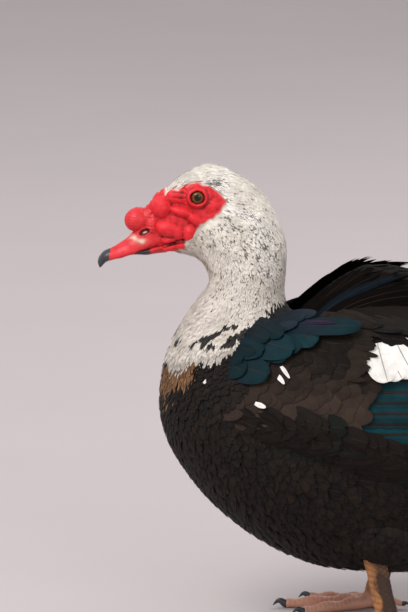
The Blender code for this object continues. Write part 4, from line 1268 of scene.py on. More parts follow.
    def shoulder_rows(self) -> tuple[Row, ...]:
        """The glossy shoulder feathers, from the mantle's edge down to the rounded tips over the coverts."""
        teal, round_tip = TEAL * 0.78, dict(tip_from=0.52, full=0.7, camber=0.05)
        navy = NAVY * 0.7
        return (
            Row(9, (-224, 230), (-150, 274), (-190, 224), (-122, 262), 18, 4.4, navy, teal * 0.45, 0.45, 4,
                layer=0.08, jitter=1.6, **round_tip),
            Row(3, (-178, 264), (-150, 276), (-142, 246), (-116, 258), 27, 5.6, teal * 0.4, teal * 0.55, 0.55,
                4, 2, layer=0.4, jitter=0.6, **round_tip),
            lone((-206, 240), (-156, 231), 31, 6.6, navy, teal * 0.65, 0.55, 4, 2, **round_tip),
            lone((-190, 258), (-134, 251), 33, 7.4, navy, teal * 0.68, 0.55, 4, 3, **round_tip),
            lone((-214, 240), (-176, 232), 27, 7.8, NAVY * 0.8, teal * 0.6, 0.5, 4, 2, **round_tip),
            lone((-208, 252), (-160, 248), 27, 8.4, NAVY * 0.8, teal * 0.5, 0.5, 4, 2, **round_tip),
            Row(4, (-214, 244), (-172, 270), (-178, 240), (-142, 262), 19, 8.8, navy, teal * 0.5, 0.45, 4, 1,
                layer=0.15, jitter=1.2, **round_tip),
            Row(12, (-226, 238), (-160, 276), (-206, 228), (-134, 270), 13, 7.6, NAVY * 0.5, navy, 0.3, 8,
                layer=0.04, jitter=2.2, tip_from=0.3),
            lone((-150, 268), (-75, 271), 21, 9.4, NAVY * 0.8, teal * 0.62, 0.6, 5, 3, tip_from=0.7, full=0.5,
                 camber=0.06),
            lone((-146, 271), (-98, 272.5), 6, 9.9, NAVY * 1.2, PURPLE * 0.5, 0.6, 5, 3, tip_from=0.3),
            Row(3, (-166, 264), (-150, 276), (-130, 272), (-114, 280), 14, 9, NAVY * 0.6, NAVY * 1.1, 0.4,
                6, 1, jitter=0.8, **round_tip),
        )

    def make(self, material: Material) -> None:
        """Builds the wing's feathers."""
        word = self.face.side.word
        for number, (name, rows) in enumerate(
            (
                ("quills_and_coverts", self.rows()),
                ("white_coverts", self.white_rows()),
                ("flank", ()),
                ("shoulder", tuple(row.lowered(self.shoulder_drop) for row in self.shoulder_rows())),
            )
        ):
            sheet = Sheet()
            lay_rows(self.face.place, rows, sheet, self.area, SEED + 40 * number)
            if name == "flank":
                self.lay_flank(sheet)
            made = sheet.made("%s_%s" % (name, word), material, "wing_plumage")
            if number == 0:
                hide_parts("wing_" + word)


@dataclass
class RaisedFeathers:
    """The long dark back feathers, raised in a steep roof over the wings."""

    outline: Line = (
        (-150, 262), (-129, 284), (-108, 303), (-88, 318), (-68, 327), (-43, 326), (-10, 315), (40, 291),
        (110, 262), (170, 236),
    )
    foot_z: float = 255.0
    half_width: float = 58.0
    top_x: float = 13.0
    insets: tuple[float, ...] = (8, 4.5, 2, 0)
    layer_count: int = 34
    back_count: int = 210

    def face(self, side: Side, inset: float) -> Place:
        """The surface that one layer of the raised feathers lies on.

        Args:
            side: the bird's side.
            inset: how far the layer lies inside the outer one.

        Returns:
            A function from (y, z) to points and normals.
        """

        def across(y: Array, z: Array) -> Array:
            rise = (z - self.foot_z) / np.maximum(height_on(self.outline, y) - inset - self.foot_z, 1)
            inside = 1 - np.clip(rise, 0, 1) ** 2
            reach = self.half_width - inset - self.top_x
            return self.top_x - 0.6 * inset + reach * np.sqrt(inside)

        def place(y: Array, z: Array) -> Arrays:
            slope = (across(y, z + 2) - across(y, z - 2)) / 4
            x = across(y, z)
            normal = unit(stacked(np.ones_like(x), 0 * x, -np.maximum(-1.6, slope)))
            return stacked(side.value * x, y + 0 * x, z + 0 * x), normal * (side.value, 1, 1)

        return place

    def ridge(self, y: Array, x: Array) -> Arrays:
        """The back between the two sides of raised feathers, over (y, x)."""
        z = height_on(self.outline, y) - 9 - 0.008 * x**2
        slope = (height_on(self.outline, y + 4) - height_on(self.outline, y - 4)) / 8
        normal = unit(stacked(0.016 * x, -slope, np.ones_like(z)))
        return stacked(x + 0 * z, y + 0 * z, z), normal

    def core(self) -> Shell:
        """The closed dark body inside the raised feathers."""
        rings = []
        for y in np.linspace(-142, 100, 30):
            heights = np.linspace(244, max(250, float(height_on(self.outline, y)) - 17), 10)
            left, _ = self.face(Side.LEFT, 14)(np.full(10, y), heights)
            right = left[::-1] * (-1, 1, 1)
            rings.append(np.vstack([left, right]))
        return ring_shell(rings)

    def make(self, material: Material) -> None:
        """Builds the raised feathers of both sides, in layers from inside out."""
        for side in Side:
            sheet = Sheet()
            for layer, inset in enumerate(self.insets):
                draw = default_rng(SEED + 7 * layer)
                n = self.layer_count
                share = (np.arange(n) + draw.uniform(-0.3, 0.3, n)) / (n - 1)
                tip_y = -118 + 198 * share**0.8
                tip_z = height_on(self.outline, tip_y) - 2 - inset - draw.uniform(0, 1, n) * 30 * share
                roots = stacked(np.interp(tip_y, (-118, 80), (-152, -112)), 257 + 0 * share)
                tips = stacked(tip_y, tip_z)
                arch = np.interp(tip_y, (-118, -90, -40, 20, 80), (0, 3, 22, 34, 40))
                bends = (roots + tips) / 2 + stacked(-0.5 * arch, arch * draw.uniform(0.7, 1.1, n))
                sheen = draw.uniform(size=(n, 1))
                tint = BLACK * (0.42, 0.36, 0.32) + (UMBER - BLACK) * 0.6 * sheen**2
                tint = np.where(draw.uniform(size=(n, 1)) < 0.14, NAVY * 0.6, tint)
                level = 0.5 * (np.arange(n) % 3)
                Vanes(
                    self.face(side, inset), roots, bends, tips, draw.uniform(9, 14, n), level, 2, tint,
                    tint * 0.8, ((-160, 240), (300, 100)), 20, 7, full=0.5, blunt=0.05, camber=0.6,
                    gloss=0.03, ragged=0.12, tip_start=0.35, seed=SEED + layer,
                ).lay(sheet)
            sheet.made("raised_feathers_" + side.word, material, "wing_plumage")
        draw = default_rng(SEED + 60)
        sheet, n = Sheet(), self.back_count
        root_y = np.sort(draw.uniform(-152, 104, n))[::-1]
        reach = np.interp(root_y, (-152, -60, 20, 104), (8, 16, 40, 60))
        roots = stacked(root_y, reach * draw.uniform(-1, 1, n))
        tips = roots * (1, 1.15) + stacked(draw.uniform(42, 56, n), draw.normal(0, 2.5, n))
        level = draw.uniform(0.5, 2, n)
        tint = BLACK * 0.9 + (UMBER - BLACK) * 0.7 * draw.uniform(size=(n, 1))
        Vanes(
            self.ridge, roots, (roots + tips) / 2, tips, draw.uniform(13, 18, n), level, 5, tint,
            tint * 0.8, ((-160, -60), (320, 120)), 10, 7, full=0.6, blunt=0.08, camber=0.5, gloss=0.1,
            ragged=0.08, tip_start=0.45, seed=SEED + 61,
        ).lay(sheet)
        sheet.made("back_feathers", material, "dark_plumage")


@dataclass
class Tail:
    """The tail's quills with the coverts above and below them."""

    half_length: float = 313.0
    fall: float = 0.13
    arch: float = 0.002

    def top(self, y: Array, x: Array) -> Arrays:
        """The tail's upper surface over (y, x)."""
        z = 206 - self.fall * (y - 180) - self.arch * x * x
        normal = stacked(2 * self.arch * x, self.fall + 0 * x, 1 + 0 * x)
        return stacked(x + 0 * z, y + 0 * z, z), unit(normal)

    def under(self, y: Array, x: Array) -> Arrays:
        """The lower surface of the feathers below the tail, over (y, x)."""
        points, _ = self.top(y, x)
        sag = 26 * ramp(262, 176, y) * np.sqrt(np.clip(1 - (x / 44) ** 2, 0.02, 1))
        points[..., 2] -= 5 + sag
        normal = stacked(0.012 * x, 0.28 + 0 * y, -1 + 0 * y)
        return points, unit(normal)

    def make(self, material: Material) -> None:
        """Builds the tail's feathers."""
        sheet = Sheet()
        draw = default_rng(SEED)
        rows = (
            (16, 164, self.half_length, 24, 64, 40, 25, -1.2, NAVY * 0.4, 0.35, self.top),
            (11, 156, 246, 21, 38, 14, 21, 2.2, BLACK, 0.3, self.top),
            (9, 144, 222, 17, 30, 12, 20, 4.2, GREEN * 0.5, 0.3, self.top),
            (8, 132, 200, 15, 24, 10, 20, 5.6, BLACK, 0.2, self.top),
            (11, 170, 262, 26, 42, 20, 22, 1, UMBER, 0.1, self.under),
            (10, 158, 238, 28, 38, 18, 22, 2.2, UMBER * 0.9, 0.1, self.under),
            (9, 146, 214, 30, 36, 14, 22, 3.2, UMBER, 0.1, self.under),
        )
        for count, root_y, tip_y, half_root, half_tip, fade, width, lift, tint, gloss, place in rows:
            share = 2 * np.arange(count) / (count - 1) - 1
            roots = stacked(root_y + 0 * share, half_root * share)
            tips = stacked(tip_y - fade * share**2, half_tip * share)
            level = lift - np.abs(share) * (place == self.top) - 0.3 * (np.arange(count) % 2)
            tints = tint * draw.uniform(0.85, 1.15, (count, 1))
            Vanes(
                place, roots, (roots + tips) / 2, tips, width * draw.uniform(0.94, 1.06, count), level, 2.5,
                tints, tints * 0.85, ((130, -70), (200, 140)), 18, 9, full=0.55, blunt=0.3, camber=0.9,
                gloss=gloss, ragged=0.02, tip_start=0.72, seed=SEED + count,
            ).lay(sheet)
        tail = sheet.made("tail_feathers", material, "dark_plumage")
        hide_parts("tail")


def scales(run: Array, pitch: float, power: float = 0.4) -> Array:
    """Rounded scales along run, 0 in the seams between them and 1 at their middles."""
    return np.abs(np.sin(math.pi * run / pitch)) ** power


@dataclass
class Leg:
    """One leg and its webbed foot, with scutes down the shank and along the toes.

    Each toe holds its name, its turn in degrees (below zero away from the other foot), length and radius.
    """

    side: Side
    hock_y: float
    ankle_y: float
    toe_turn: float
    leg_x: float = 54.0
    hock_z: float = 78.0
    ankle_z: float = 3.0
    top_z: float = 104.0
    floor: float = -14.0
    toes: tuple[tuple[str, float, float, float], ...] = (
        ("inner", -26, 66, 6.2), ("middle", -2, 84, 6.6), ("outer", 21, 74, 6.2),
    )
    claw_length: float = 12.0
    feather_count: int = 620

    @property
    def ankle(self) -> Array:
        """The ankle's (x, y)."""
        return np.array([self.side.value * self.leg_x, self.ankle_y])

    def toe_lines(self) -> list[tuple[str, float, Array, Array]]:
        """Each toe's name, its radius, its middle line and the way that it points."""
        made = []
        for name, turn, length, radius in self.toes:
            heading = math.radians((self.toe_turn - turn) * self.side.value)
            ahead = np.array([math.sin(heading), -math.cos(heading)])
            heights = ((0, 9 / radius), (0.25, 0.95), (0.5, 0.8), (0.8, 0.62), (1, 0.6))
            path = [(*(self.ankle + ahead * length * at), self.floor + up * radius) for at, up in heights]
            made.append((name, radius, spline(path, 6), ahead))
        return made

    def thigh(self) -> Bulb:
        """The thigh's form under its feathers."""
        return Bulb(self.side.value * (self.leg_x + 3), self.hock_y + 14, 93, 44, 31, 38, -14)

    def shells(self) -> list[Shell]:
        """The closed shells that the skin of leg and foot wraps."""
        s, x = self.side.value, self.side.value * self.leg_x
        path = [(x + s * 4, self.hock_y + 8, self.top_z), (x + s, self.hock_y, self.hock_z)]
        for share in (0.2, 0.45, 0.72, 1):
            y = self.hock_y + (self.ankle_y - self.hock_y) * share
            path.append((x, y, self.hock_z + (self.ankle_z - self.hock_z) * share))
        path.append((x, self.ankle_y - 2, self.floor + 9))
        radii = np.interp(np.linspace(0, 6, 37), range(7), (14.6, 13.2, 11.2, 10, 9.8, 10.6, 9))
        made = [
            tube_shell(spline(path, 6), radii, 32, 0.74),
            ball_shell(Bulb(x, self.ankle_y - 2, self.floor + 9, 12.6, 10.4, 8.8)),
            ball_shell(Bulb(x, self.hock_y + 1, self.hock_z + 2, 12.6, 9.6, 11)),
        ]
        for _, radius, line, _ in self.toe_lines():
            size = radius * np.interp(np.linspace(0, 4, len(line)), range(5), (1.2, 1.02, 0.9, 0.76, 0.62))
            pads = 1 + 0.1 * np.cos(np.linspace(0, 6 * math.pi, len(line)))
            lifted = line.copy()
            lifted[:, 2] = np.maximum(line[:, 2], self.floor + size * pads)
            made.append(tube_shell(lifted, size * pads, 20))
        hind = np.array([(0, 4, 10), (-s * 3, 13, 8), (-s * 5, 24.4, 5)]) + (x, self.ankle_y, self.floor)
        return made + [tube_shell(spline(hind, 5), np.linspace(5.2, 2.7, 11), 16), self.web()]

    def web(self) -> Shell:
        """The skin between the toes, drawn in between each pair and ridged lengthwise."""
        start = self.ankle
        tips = [(line[-1][:2] - start) * 0.93 for _, _, line, _ in self.toe_lines()]
        share = np.linspace(0, 1, 9)[:-1, None]
        drawn = 1 - 0.17 * np.sin(math.pi * share) ** 0.8
        edge = [(first * (1 - share) + second * share) * drawn for first, second in zip(tips, tips[1:])]
        edge = np.vstack(edge + tips[-1:])
        out = np.linspace(0.06, 1, 10)[:, None]
        top = 7 * (1 - out) + 3.3 * out + 0.5 * np.sin(np.arange(len(edge)) * 1.9) * out
        low = np.maximum(0.4, top - 2.6 + 3 * (out - 1))
        flat = start + edge * out[..., None]
        points = [np.concatenate([flat, self.floor + level[..., None]], axis=2) for level in (top, low)]
        number = np.arange(2 * top.size).reshape(2, *top.shape)
        rims = (number[:, :, 0], number[:, 0], number[:, :, -1], number[:, -1])
        faces = np.concatenate([grid_quads(grid) for grid in (*number, *rims)]).tolist()
        return np.vstack([level.reshape(-1, 3) for level in points]), faces

    def skin(self) -> tuple[Array, Array, Values]:
        """The skin of leg and foot, with its scutes raised, and the values that colour it."""
        points, quads, normals = wrapped(self.shells(), 0.95, 3)
        x, y, z = points.T
        start = self.ankle
        share = np.clip((self.hock_z - z) / (self.hock_z - self.ankle_z), 0, 1)
        axis_y = self.hock_y + (self.ankle_y - self.hock_y) * share
        bearing = np.arctan2(x - start[0], axis_y - y)
        shank = ramp(2, 8, z) * ramp(100, 92, z)
        front = ramp(1.3, 0.9, np.abs(bearing))
        rows = scales(z + 1.2 * np.abs(bearing), 6.2, 0.35)
        net = np.minimum(scales(z + 6.2 * bearing, 5), scales(z - 6.2 * bearing, 5))
        relief = shank * (front * 0.75 * (rows - 1) + (1 - front) * 0.55 * (net - 1))
        foot = ramp(4, -2, z)
        nearest, run = np.full(len(points), 1e9), np.zeros(len(points))
        rel = points[:, :2] - start
        for _, _, _, ahead in self.toe_lines():
            along = rel @ ahead
            off = np.where(along > 0, np.abs(rel @ (-ahead[1], ahead[0])), 1e6)
            run = np.where(off < nearest, along, run)
            nearest = np.minimum(nearest, off)
        upper, on_toe = foot * (normals[:, 2] > 0.1), ramp(6.4, 4.6, nearest)
        web = 0.12 * noise(points, 2, 31)
        relief = relief + upper * (on_toe * 0.6 * (scales(run, 4.2) - 1) + (1 - on_toe) * web)
        points = points + normals * relief[:, None]
        points[:, 2] = np.maximum(points[:, 2], self.floor)
        # Painted shade in the seams between the scutes, which also keep the web's pink out of them; the back
        # of the shank is darker, and soot adds random dark smudges.
        rear = ramp(1, 1.8, np.abs(bearing)) * shank
        seams = np.clip(-relief * 1.6, 0, 1)
        soot = ramp(0, 0.5, noise(points, 11, 41)) * ramp(0.2, 0.8, np.abs(bearing))
        painted_shade_and_soot = np.clip(seams + 1.4 * rear + 1.2 * soot * shank, 0, 2)
        values = {"painted_shade_and_soot": painted_shade_and_soot, "web": 0.85 * foot * (1 - 0.5 * seams)}
        return points, quads, values

    def claws(self, material: Material) -> None:
        """Builds the foot's four claws."""
        ends = [
            (toe, line[-1], np.array([*ahead, 0]), radius * 0.6, self.claw_length)
            for toe, radius, line, ahead in self.toe_lines()
        ]
        (x, back), s = self.ankle, self.side.value
        root = np.array([x - s * 5, back + 25, self.floor + 5])
        ends.append(("hind", root, unit(np.array([-s * 2, 12, -3])), 2.3, 7))
        for toe, root, ahead, radius, length in ends:
            shares = np.linspace(-0.25, 1, 14)
            bent = np.clip((shares - 0.08) / 0.92, 0, 1)
            path = root + ahead * (0.3 + length * shares)[:, None]
            path[:, 2] += radius * (0.8 * np.sin(math.pi * bent) - 0.5 * bent**2)
            radii = np.maximum(0.35, radius * (1 - 0.92 * np.clip(shares, 0, 1) ** 1.3))
            points, quads, normals = wrapped([tube_shell(path, radii, 24, 0.9)], 0.4, 2)
            points[:, 2] = np.maximum(points[:, 2], self.floor)
            name = toe + "_" + self.side.word
            claw = piece("horn_" + name, points, quads, {}, material)
            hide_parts("claw_" + name)

    def feathers(self, markings: Markings, material: Material) -> None:
        """Builds the feathers of the thigh, which lie down and back over the hock."""
        bulb = self.thigh()
        draw = default_rng(SEED + self.side.value)

        def place(u: Array, v: Array) -> Arrays:
            around = math.tau * v
            drop = math.pi * u
            ball = stacked(np.sin(drop) * np.cos(around), np.sin(drop) * np.sin(around), np.cos(drop))
            sizes = np.array([bulb.across, bulb.along, bulb.up])
            point, normal = tipped(ball * sizes, bulb.tilt), tipped(unit(ball / sizes), bulb.tilt)
            return point + (bulb.x, bulb.y, bulb.z), normal

        n = self.feather_count
        u = np.arccos(draw.uniform(-0.93, 0.35, n)) / math.pi
        v = draw.uniform(0, 1, n)
        length = draw.uniform(15, 22, n)
        step_u = length / (math.pi * 38) * np.clip((0.93 - u) / 0.25, 0.45, 1)
        roots = stacked(u, v)
        tips = roots + stacked(step_u, draw.normal(0, 0.02, n))
        points, _ = place(u, v)
        root_tint, tip_tint = markings.tints(points, SEED)
        low, high = Lie.THIGH.value
        width, level = draw.uniform(8, 12, n), high * draw.uniform(0.3, 1.5, n)
        sheet = Sheet()
        Vanes(
            place, roots, (roots + tips) / 2, tips, width, level, level - low, root_tint, tip_tint,
            ((0, 0), (1, 1)), 6, 4, camber=1, ragged=0.16, full=0.55, blunt=BLUNTEST, tip_start=0.5,
            seed=SEED,
        ).lay(sheet)
        sheet.made("thigh_feathers_" + self.side.word, material, "dark_plumage")


@dataclass
class Nodes:
    """A short way to add and link shader nodes."""

    tree: Tree

    def add(self, kind: str, **settings: object) -> Node:
        """Adds a node and sets its properties."""
        node = self.tree.nodes.new(kind)
        for name, value in settings.items():
            setattr(node, name, value)
        return node

    def put(self, socket: Socket, value: object) -> None:
        """Links a socket to value, or sets it where value is plain."""
        if isinstance(value, Socket):
            self.tree.links.new(value, socket)
        elif isinstance(value, (tuple, list, np.ndarray)) and len(value) == 3 and socket.type == "RGBA":
            socket.default_value = (*value, 1)
        else:
            socket.default_value = value

    def math(self, operation: str, *values: object, clamp: bool = False) -> Socket:
        """One Math node's result."""
        node = self.add("ShaderNodeMath", operation=operation, use_clamp=clamp)
        for socket, value in zip(node.inputs, values):
            self.put(socket, value)
        return node.outputs[0]

    def mix(self, share: object, first: object, second: object, blend: str = "MIX") -> Socket:
        """A mix of two colours."""
        node = self.add("ShaderNodeMix", data_type="RGBA", blend_type=blend)
        self.put(node.inputs[0], share)
        self.put(node.inputs[6], first)
        self.put(node.inputs[7], second)
        return node.outputs[2]

    def attribute(self, name: str, output: str = "Fac") -> Socket:
        """One of the mesh's attributes."""
        return self.add("ShaderNodeAttribute", attribute_name=name).outputs[output]

    def noise(self, scale: float, detail: float, rough: float = 0.55, vector: object = None) -> Socket:
        """Noise over the object's own coordinates, in metres unless another vector is given."""
        vector = vector or self.add("ShaderNodeTexCoord").outputs["Object"]
        values = {"Scale": scale, "Detail": detail, "Roughness": rough, "Vector": vector}
        return self.fill(self.add("ShaderNodeTexNoise"), values).outputs["Fac"]

    def ramp(self, value: object, low: float, high: float) -> Socket:
        """A share from 0 at low to 1 at high."""
        node = self.add("ShaderNodeMapRange", interpolation_type="SMOOTHSTEP")
        return self.fill(node, {"Value": value, "From Min": low, "From Max": high}).outputs["Result"]

    def bump(self, height: object, strength: float, distance: float) -> Socket:
        """A bumped normal."""
        values = {"Strength": strength, "Distance": distance, "Height": height}
        return self.fill(self.add("ShaderNodeBump"), values).outputs["Normal"]

    def fill(self, node: Node, values: dict[str, object]) -> Node:
        """Links or sets several inputs of a node by name."""
        for name, value in values.items():
            self.put(node.inputs[name], value)
        return node

    def group(self, tree: Tree, **values: object) -> Node:
        """Places a shared group and sets its inputs."""
        return self.fill(self.add("ShaderNodeGroup", node_tree=tree), values)


def new_material(name: str) -> tuple[Material, Nodes, Node]:
    """A new material with its nodes and its shader."""
    made = bpy.data.materials.new(name)
    made.use_nodes = True
    return made, Nodes(made.node_tree), made.node_tree.nodes["Principled BSDF"]


def new_group(name: str, inputs: dict[str, float], outputs: tuple[str, ...]) -> tuple[Nodes, dict, Node]:
    """Starts a shader node group.

    Args:
        name: the group's name.
        inputs: each input's name and value.
        outputs: the names of its outputs, which are all numbers.

    Returns:
        Its nodes, its input sockets by name, and its output node.
    """
    tree = bpy.data.node_groups.new(name, "ShaderNodeTree")
    number = "NodeSocketFloat"
    for label, value in inputs.items():
        tree.interface.new_socket(name=label, in_out="INPUT", socket_type=number).default_value = value
    for label in outputs:
        tree.interface.new_socket(name=label, in_out="OUTPUT", socket_type=number)
    nodes = Nodes(tree)
    entry = nodes.add("NodeGroupInput")
    end = nodes.add("NodeGroupOutput")
    return nodes, {label: entry.outputs[label] for label in inputs}, end


def barb_group() -> Tree:
    """The fine slanting barbs of a vane and its shaft, read from the vane's own coordinates."""
    inputs = {"Barbs": 60, "Slant": 0.35, "Shaft": 0.05}
    nodes, entry, end = new_group("barbs", inputs, ("Barb", "Shaft", "Edge"))
    across = nodes.attribute("vane_across")
    along = nodes.attribute("vane_along")
    off = nodes.math("ABSOLUTE", across)
    wobble = nodes.noise(260, 3)
    slanted = nodes.math("SUBTRACT", along, nodes.math("MULTIPLY", off, entry["Slant"]))
    phase = nodes.math("MULTIPLY", slanted, nodes.math("MULTIPLY", entry["Barbs"], math.tau))
    wave = nodes.math("SINE", nodes.math("ADD", phase, nodes.math("MULTIPLY", wobble, 7)))
    barb = nodes.math("MULTIPLY_ADD", wave, 0.5, 0.5)
    near = nodes.math("DIVIDE", off, entry["Shaft"])
    shaft = nodes.math("SUBTRACT", 1, near, clamp=True)
    nodes.fill(end, {"Barb": barb, "Shaft": shaft, "Edge": nodes.ramp(off, 0.55, 1)})
    return nodes.tree


def pore_group() -> Tree:
    """Fine pores and creases of bare skin."""
    nodes, entry, end = new_group("pores", {"Scale": 900, "Creases": 0.5}, ("Height", "Mottle"))
    cells = nodes.add("ShaderNodeTexVoronoi", feature="DISTANCE_TO_EDGE")
    coordinate = nodes.add("ShaderNodeTexCoord").outputs["Object"]
    nodes.fill(cells, {"Vector": coordinate, "Scale": entry["Scale"]})
    pit = nodes.ramp(cells.outputs["Distance"], 0, 0.22)
    height = nodes.math("MULTIPLY_ADD", pit, entry["Creases"], nodes.noise(1500, 3))
    nodes.fill(end, {"Height": height, "Mottle": nodes.noise(170, 4)})
    return nodes.tree


@dataclass(frozen=True)
class PlumageFinish:
    """How a kind of plumage looks: barb count, shaft colour, roughness, sheen and depth of its relief."""

    name: str
    barbs: float
    shaft: float
    shaft_colour: Triple
    barb_shade: float
    roughness: float
    sheen: float
    relief: float
    edge_shade: float = 0.25
    metal: float = 0.75
    specular: float = 0.14

    def make(self, barbs: Tree) -> Material:
        """Builds the material."""
        made, nodes, shader = new_material(self.name)
        tint = nodes.attribute("tint", "Color")
        gloss = nodes.attribute("gloss")
        vane = nodes.group(barbs, Barbs=self.barbs, Shaft=self.shaft)
        dim = nodes.math("MULTIPLY_ADD", vane.outputs["Barb"], self.barb_shade, 1 - self.barb_shade)
        patch = nodes.ramp(nodes.noise(90, 3), 0.3, 0.7)
        dim = nodes.math("MULTIPLY", dim, nodes.math("MULTIPLY_ADD", patch, 0.25, 0.85))
        edge = nodes.math("MULTIPLY_ADD", vane.outputs["Edge"], -self.edge_shade, 1)
        grey = nodes.add("ShaderNodeCombineColor")
        shade = nodes.math("MULTIPLY", dim, edge)
        for socket in grey.inputs[:3]:
            nodes.put(socket, shade)
        colour = nodes.mix(1, tint, grey.outputs[0], "MULTIPLY")
        colour = nodes.mix(nodes.math("MULTIPLY", vane.outputs["Shaft"], 0.8), colour, self.shaft_colour)
        rough = nodes.math("MULTIPLY_ADD", gloss, -0.22, self.roughness)
        rough = nodes.math("MULTIPLY_ADD", vane.outputs["Barb"], 0.12, rough)
        height = nodes.math("MULTIPLY_ADD", vane.outputs["Shaft"], 1.6, vane.outputs["Barb"])
        nodes.fill(
            shader,
            {
                "Base Color": colour,
                "Roughness": rough,
                "Metallic": nodes.math("MULTIPLY", gloss, self.metal),
                "Specular IOR Level": self.specular,
                "Sheen Weight": self.sheen,
                "Sheen Roughness": 0.5,
                "Normal": nodes.bump(height, 0.55, self.relief * MM),
            },
        )
        return made


@dataclass(frozen=True)
class SkinFinish:
    """How bare skin or horn looks: its colours, roughness and wetness."""

    name: str
    colour: Triple
    deep: Triple
    roughness: float
    coat: float
    pores: float
    relief: float
    mask: str = ""
    mask_colour: Triple = (0, 0, 0)
    under: Triple | None = None
    scatter: float = 0.0

    def make(self, pores: Tree) -> Material:
        """Builds the material."""
        made, nodes, shader = new_material(self.name)
        skin = nodes.group(pores, Scale=self.pores)
        mottle = nodes.ramp(skin.outputs["Mottle"], 0.35, 0.68)
        colour = nodes.mix(nodes.math("MULTIPLY", mottle, 0.55), self.colour, self.deep)
        # Painted shade, together with the legs' soot: the colour darkens where the shade attribute is high.
        painted_shade_and_soot = nodes.math("MULTIPLY", nodes.attribute("painted_shade_and_soot"), 0.5, clamp=True)
        colour = nodes.mix(painted_shade_and_soot, colour, np.array(self.deep) * 0.22)
        if self.mask:
            colour = nodes.mix(nodes.attribute(self.mask), colour, self.mask_colour)
        if self.under:
            bare = nodes.attribute("bare")
            down = nodes.mix(nodes.attribute("bib"), BLACK * 0.8, self.under)
            colour = nodes.mix(bare, down, colour)
        nodes.fill(
            shader,
            {
                "Base Color": colour,
                "Roughness": nodes.math("MULTIPLY_ADD", mottle, 0.14, self.roughness),
                "Coat Weight": self.coat,
                "Coat Roughness": 0.3,
                "Specular IOR Level": 0.35,
                "Subsurface Weight": self.scatter,
                "Subsurface Radius": (0.004, 0.001, 0.0006),
                "Subsurface Scale": 0.6,
                "Normal": nodes.bump(skin.outputs["Height"], 0.5, self.relief * MM),
            },
        )
        return made


PLUMAGES = {
    "hair": PlumageFinish(
        "pale_hair_feathers", barbs=6, shaft=0.02, shaft_colour=(0.6, 0.55, 0.47), barb_shade=0.06,
        roughness=0.75, sheen=0.15, relief=0.04, edge_shade=0.04, metal=0,
    ),
    "body": PlumageFinish(
        "dark_body_feathers", barbs=15, shaft=0.1, shaft_colour=(0.022, 0.015, 0.011), barb_shade=0.4,
        roughness=0.6, sheen=0, relief=0.16, edge_shade=0.2,
    ),
    "wing": PlumageFinish(
        "wing_feathers", barbs=46, shaft=0.05, shaft_colour=(0.032, 0.022, 0.017), barb_shade=0.28,
        roughness=0.58, sheen=0.02, relief=0.12, edge_shade=0.1, metal=0.6, specular=0.09,
    ),
    "long": PlumageFinish(
        "raised_feathers", barbs=80, shaft=0.07, shaft_colour=(0.034, 0.022, 0.016), barb_shade=0.38,
        roughness=0.6, sheen=0, relief=0.14, edge_shade=0.2, metal=0.6, specular=0.035,
    ),
}
SKINS = {
    "skin": SkinFinish(
        "red_skin", colour=(0.74, 0.018, 0.027), deep=(0.52, 0.006, 0.011), roughness=0.5, coat=0.04,
        pores=700, relief=0.12, under=(0.72, 0.68, 0.6), scatter=0.1,
    ),
    # The pale mask holds the bill's pale patch and the painted light in the nostril.
    "bill": SkinFinish(
        "bill_horn", colour=(0.7, 0.028, 0.036), deep=(0.48, 0.009, 0.014), roughness=0.44, coat=0.07,
        pores=900, relief=0.1, mask="pale", mask_colour=(0.66, 0.5, 0.38), scatter=0.06,
    ),
    "bill_under": SkinFinish(
        "under_bill_horn", colour=(0.62, 0.026, 0.032), deep=(0.34, 0.008, 0.012), roughness=0.46, coat=0.08,
        pores=900, relief=0.1, mask="dark", mask_colour=(0.03, 0.022, 0.024),
    ),
    "nail": SkinFinish(
        "dark_horn", colour=(0.036, 0.036, 0.042), deep=(0.016, 0.016, 0.02), roughness=0.34, coat=0.3,
        pores=600, relief=0.06,
    ),
    "leg": SkinFinish(
        "scaly_skin", colour=(0.47, 0.205, 0.07), deep=(0.2, 0.095, 0.045), roughness=0.5, coat=0.08,
        pores=1100, relief=0.1, mask="web", mask_colour=(0.6, 0.3, 0.22),
    ),
}


def eye_material() -> Material:
    """The wet eye: a black pupil, an amber-brown iris with fine rays and a dark rim."""
    made, nodes, shader = new_material("wet_eye")
    radius = nodes.attribute("from_axis")
    bearing = nodes.attribute("bearing")
    turns, away = nodes.math("MULTIPLY", bearing, 5), nodes.math("MULTIPLY", radius, 0.5)
    place = nodes.fill(nodes.add("ShaderNodeCombineXYZ"), {"X": turns, "Y": away})
    rays = nodes.noise(2.4, 4, 0.6, place.outputs[0])
    iris = nodes.mix(nodes.ramp(rays, 0.32, 0.68), (0.08, 0.03, 0.007), (0.29, 0.12, 0.022))
    iris = nodes.mix(nodes.ramp(radius, 3.8, 2.9), iris, (0.1, 0.036, 0.008))
    colour = nodes.mix(nodes.ramp(radius, 4.9, 5.8), iris, (0.03, 0.014, 0.01))
    colour = nodes.mix(nodes.ramp(radius, 3.15, 2.7), colour, (0.003, 0.003, 0.003))
    plain = {"Roughness": 0.12, "Coat Weight": 0.45, "Coat Roughness": 0.02, "IOR": 1.25}
    nodes.fill(shader, {"Base Color": colour, **plain})
    return made


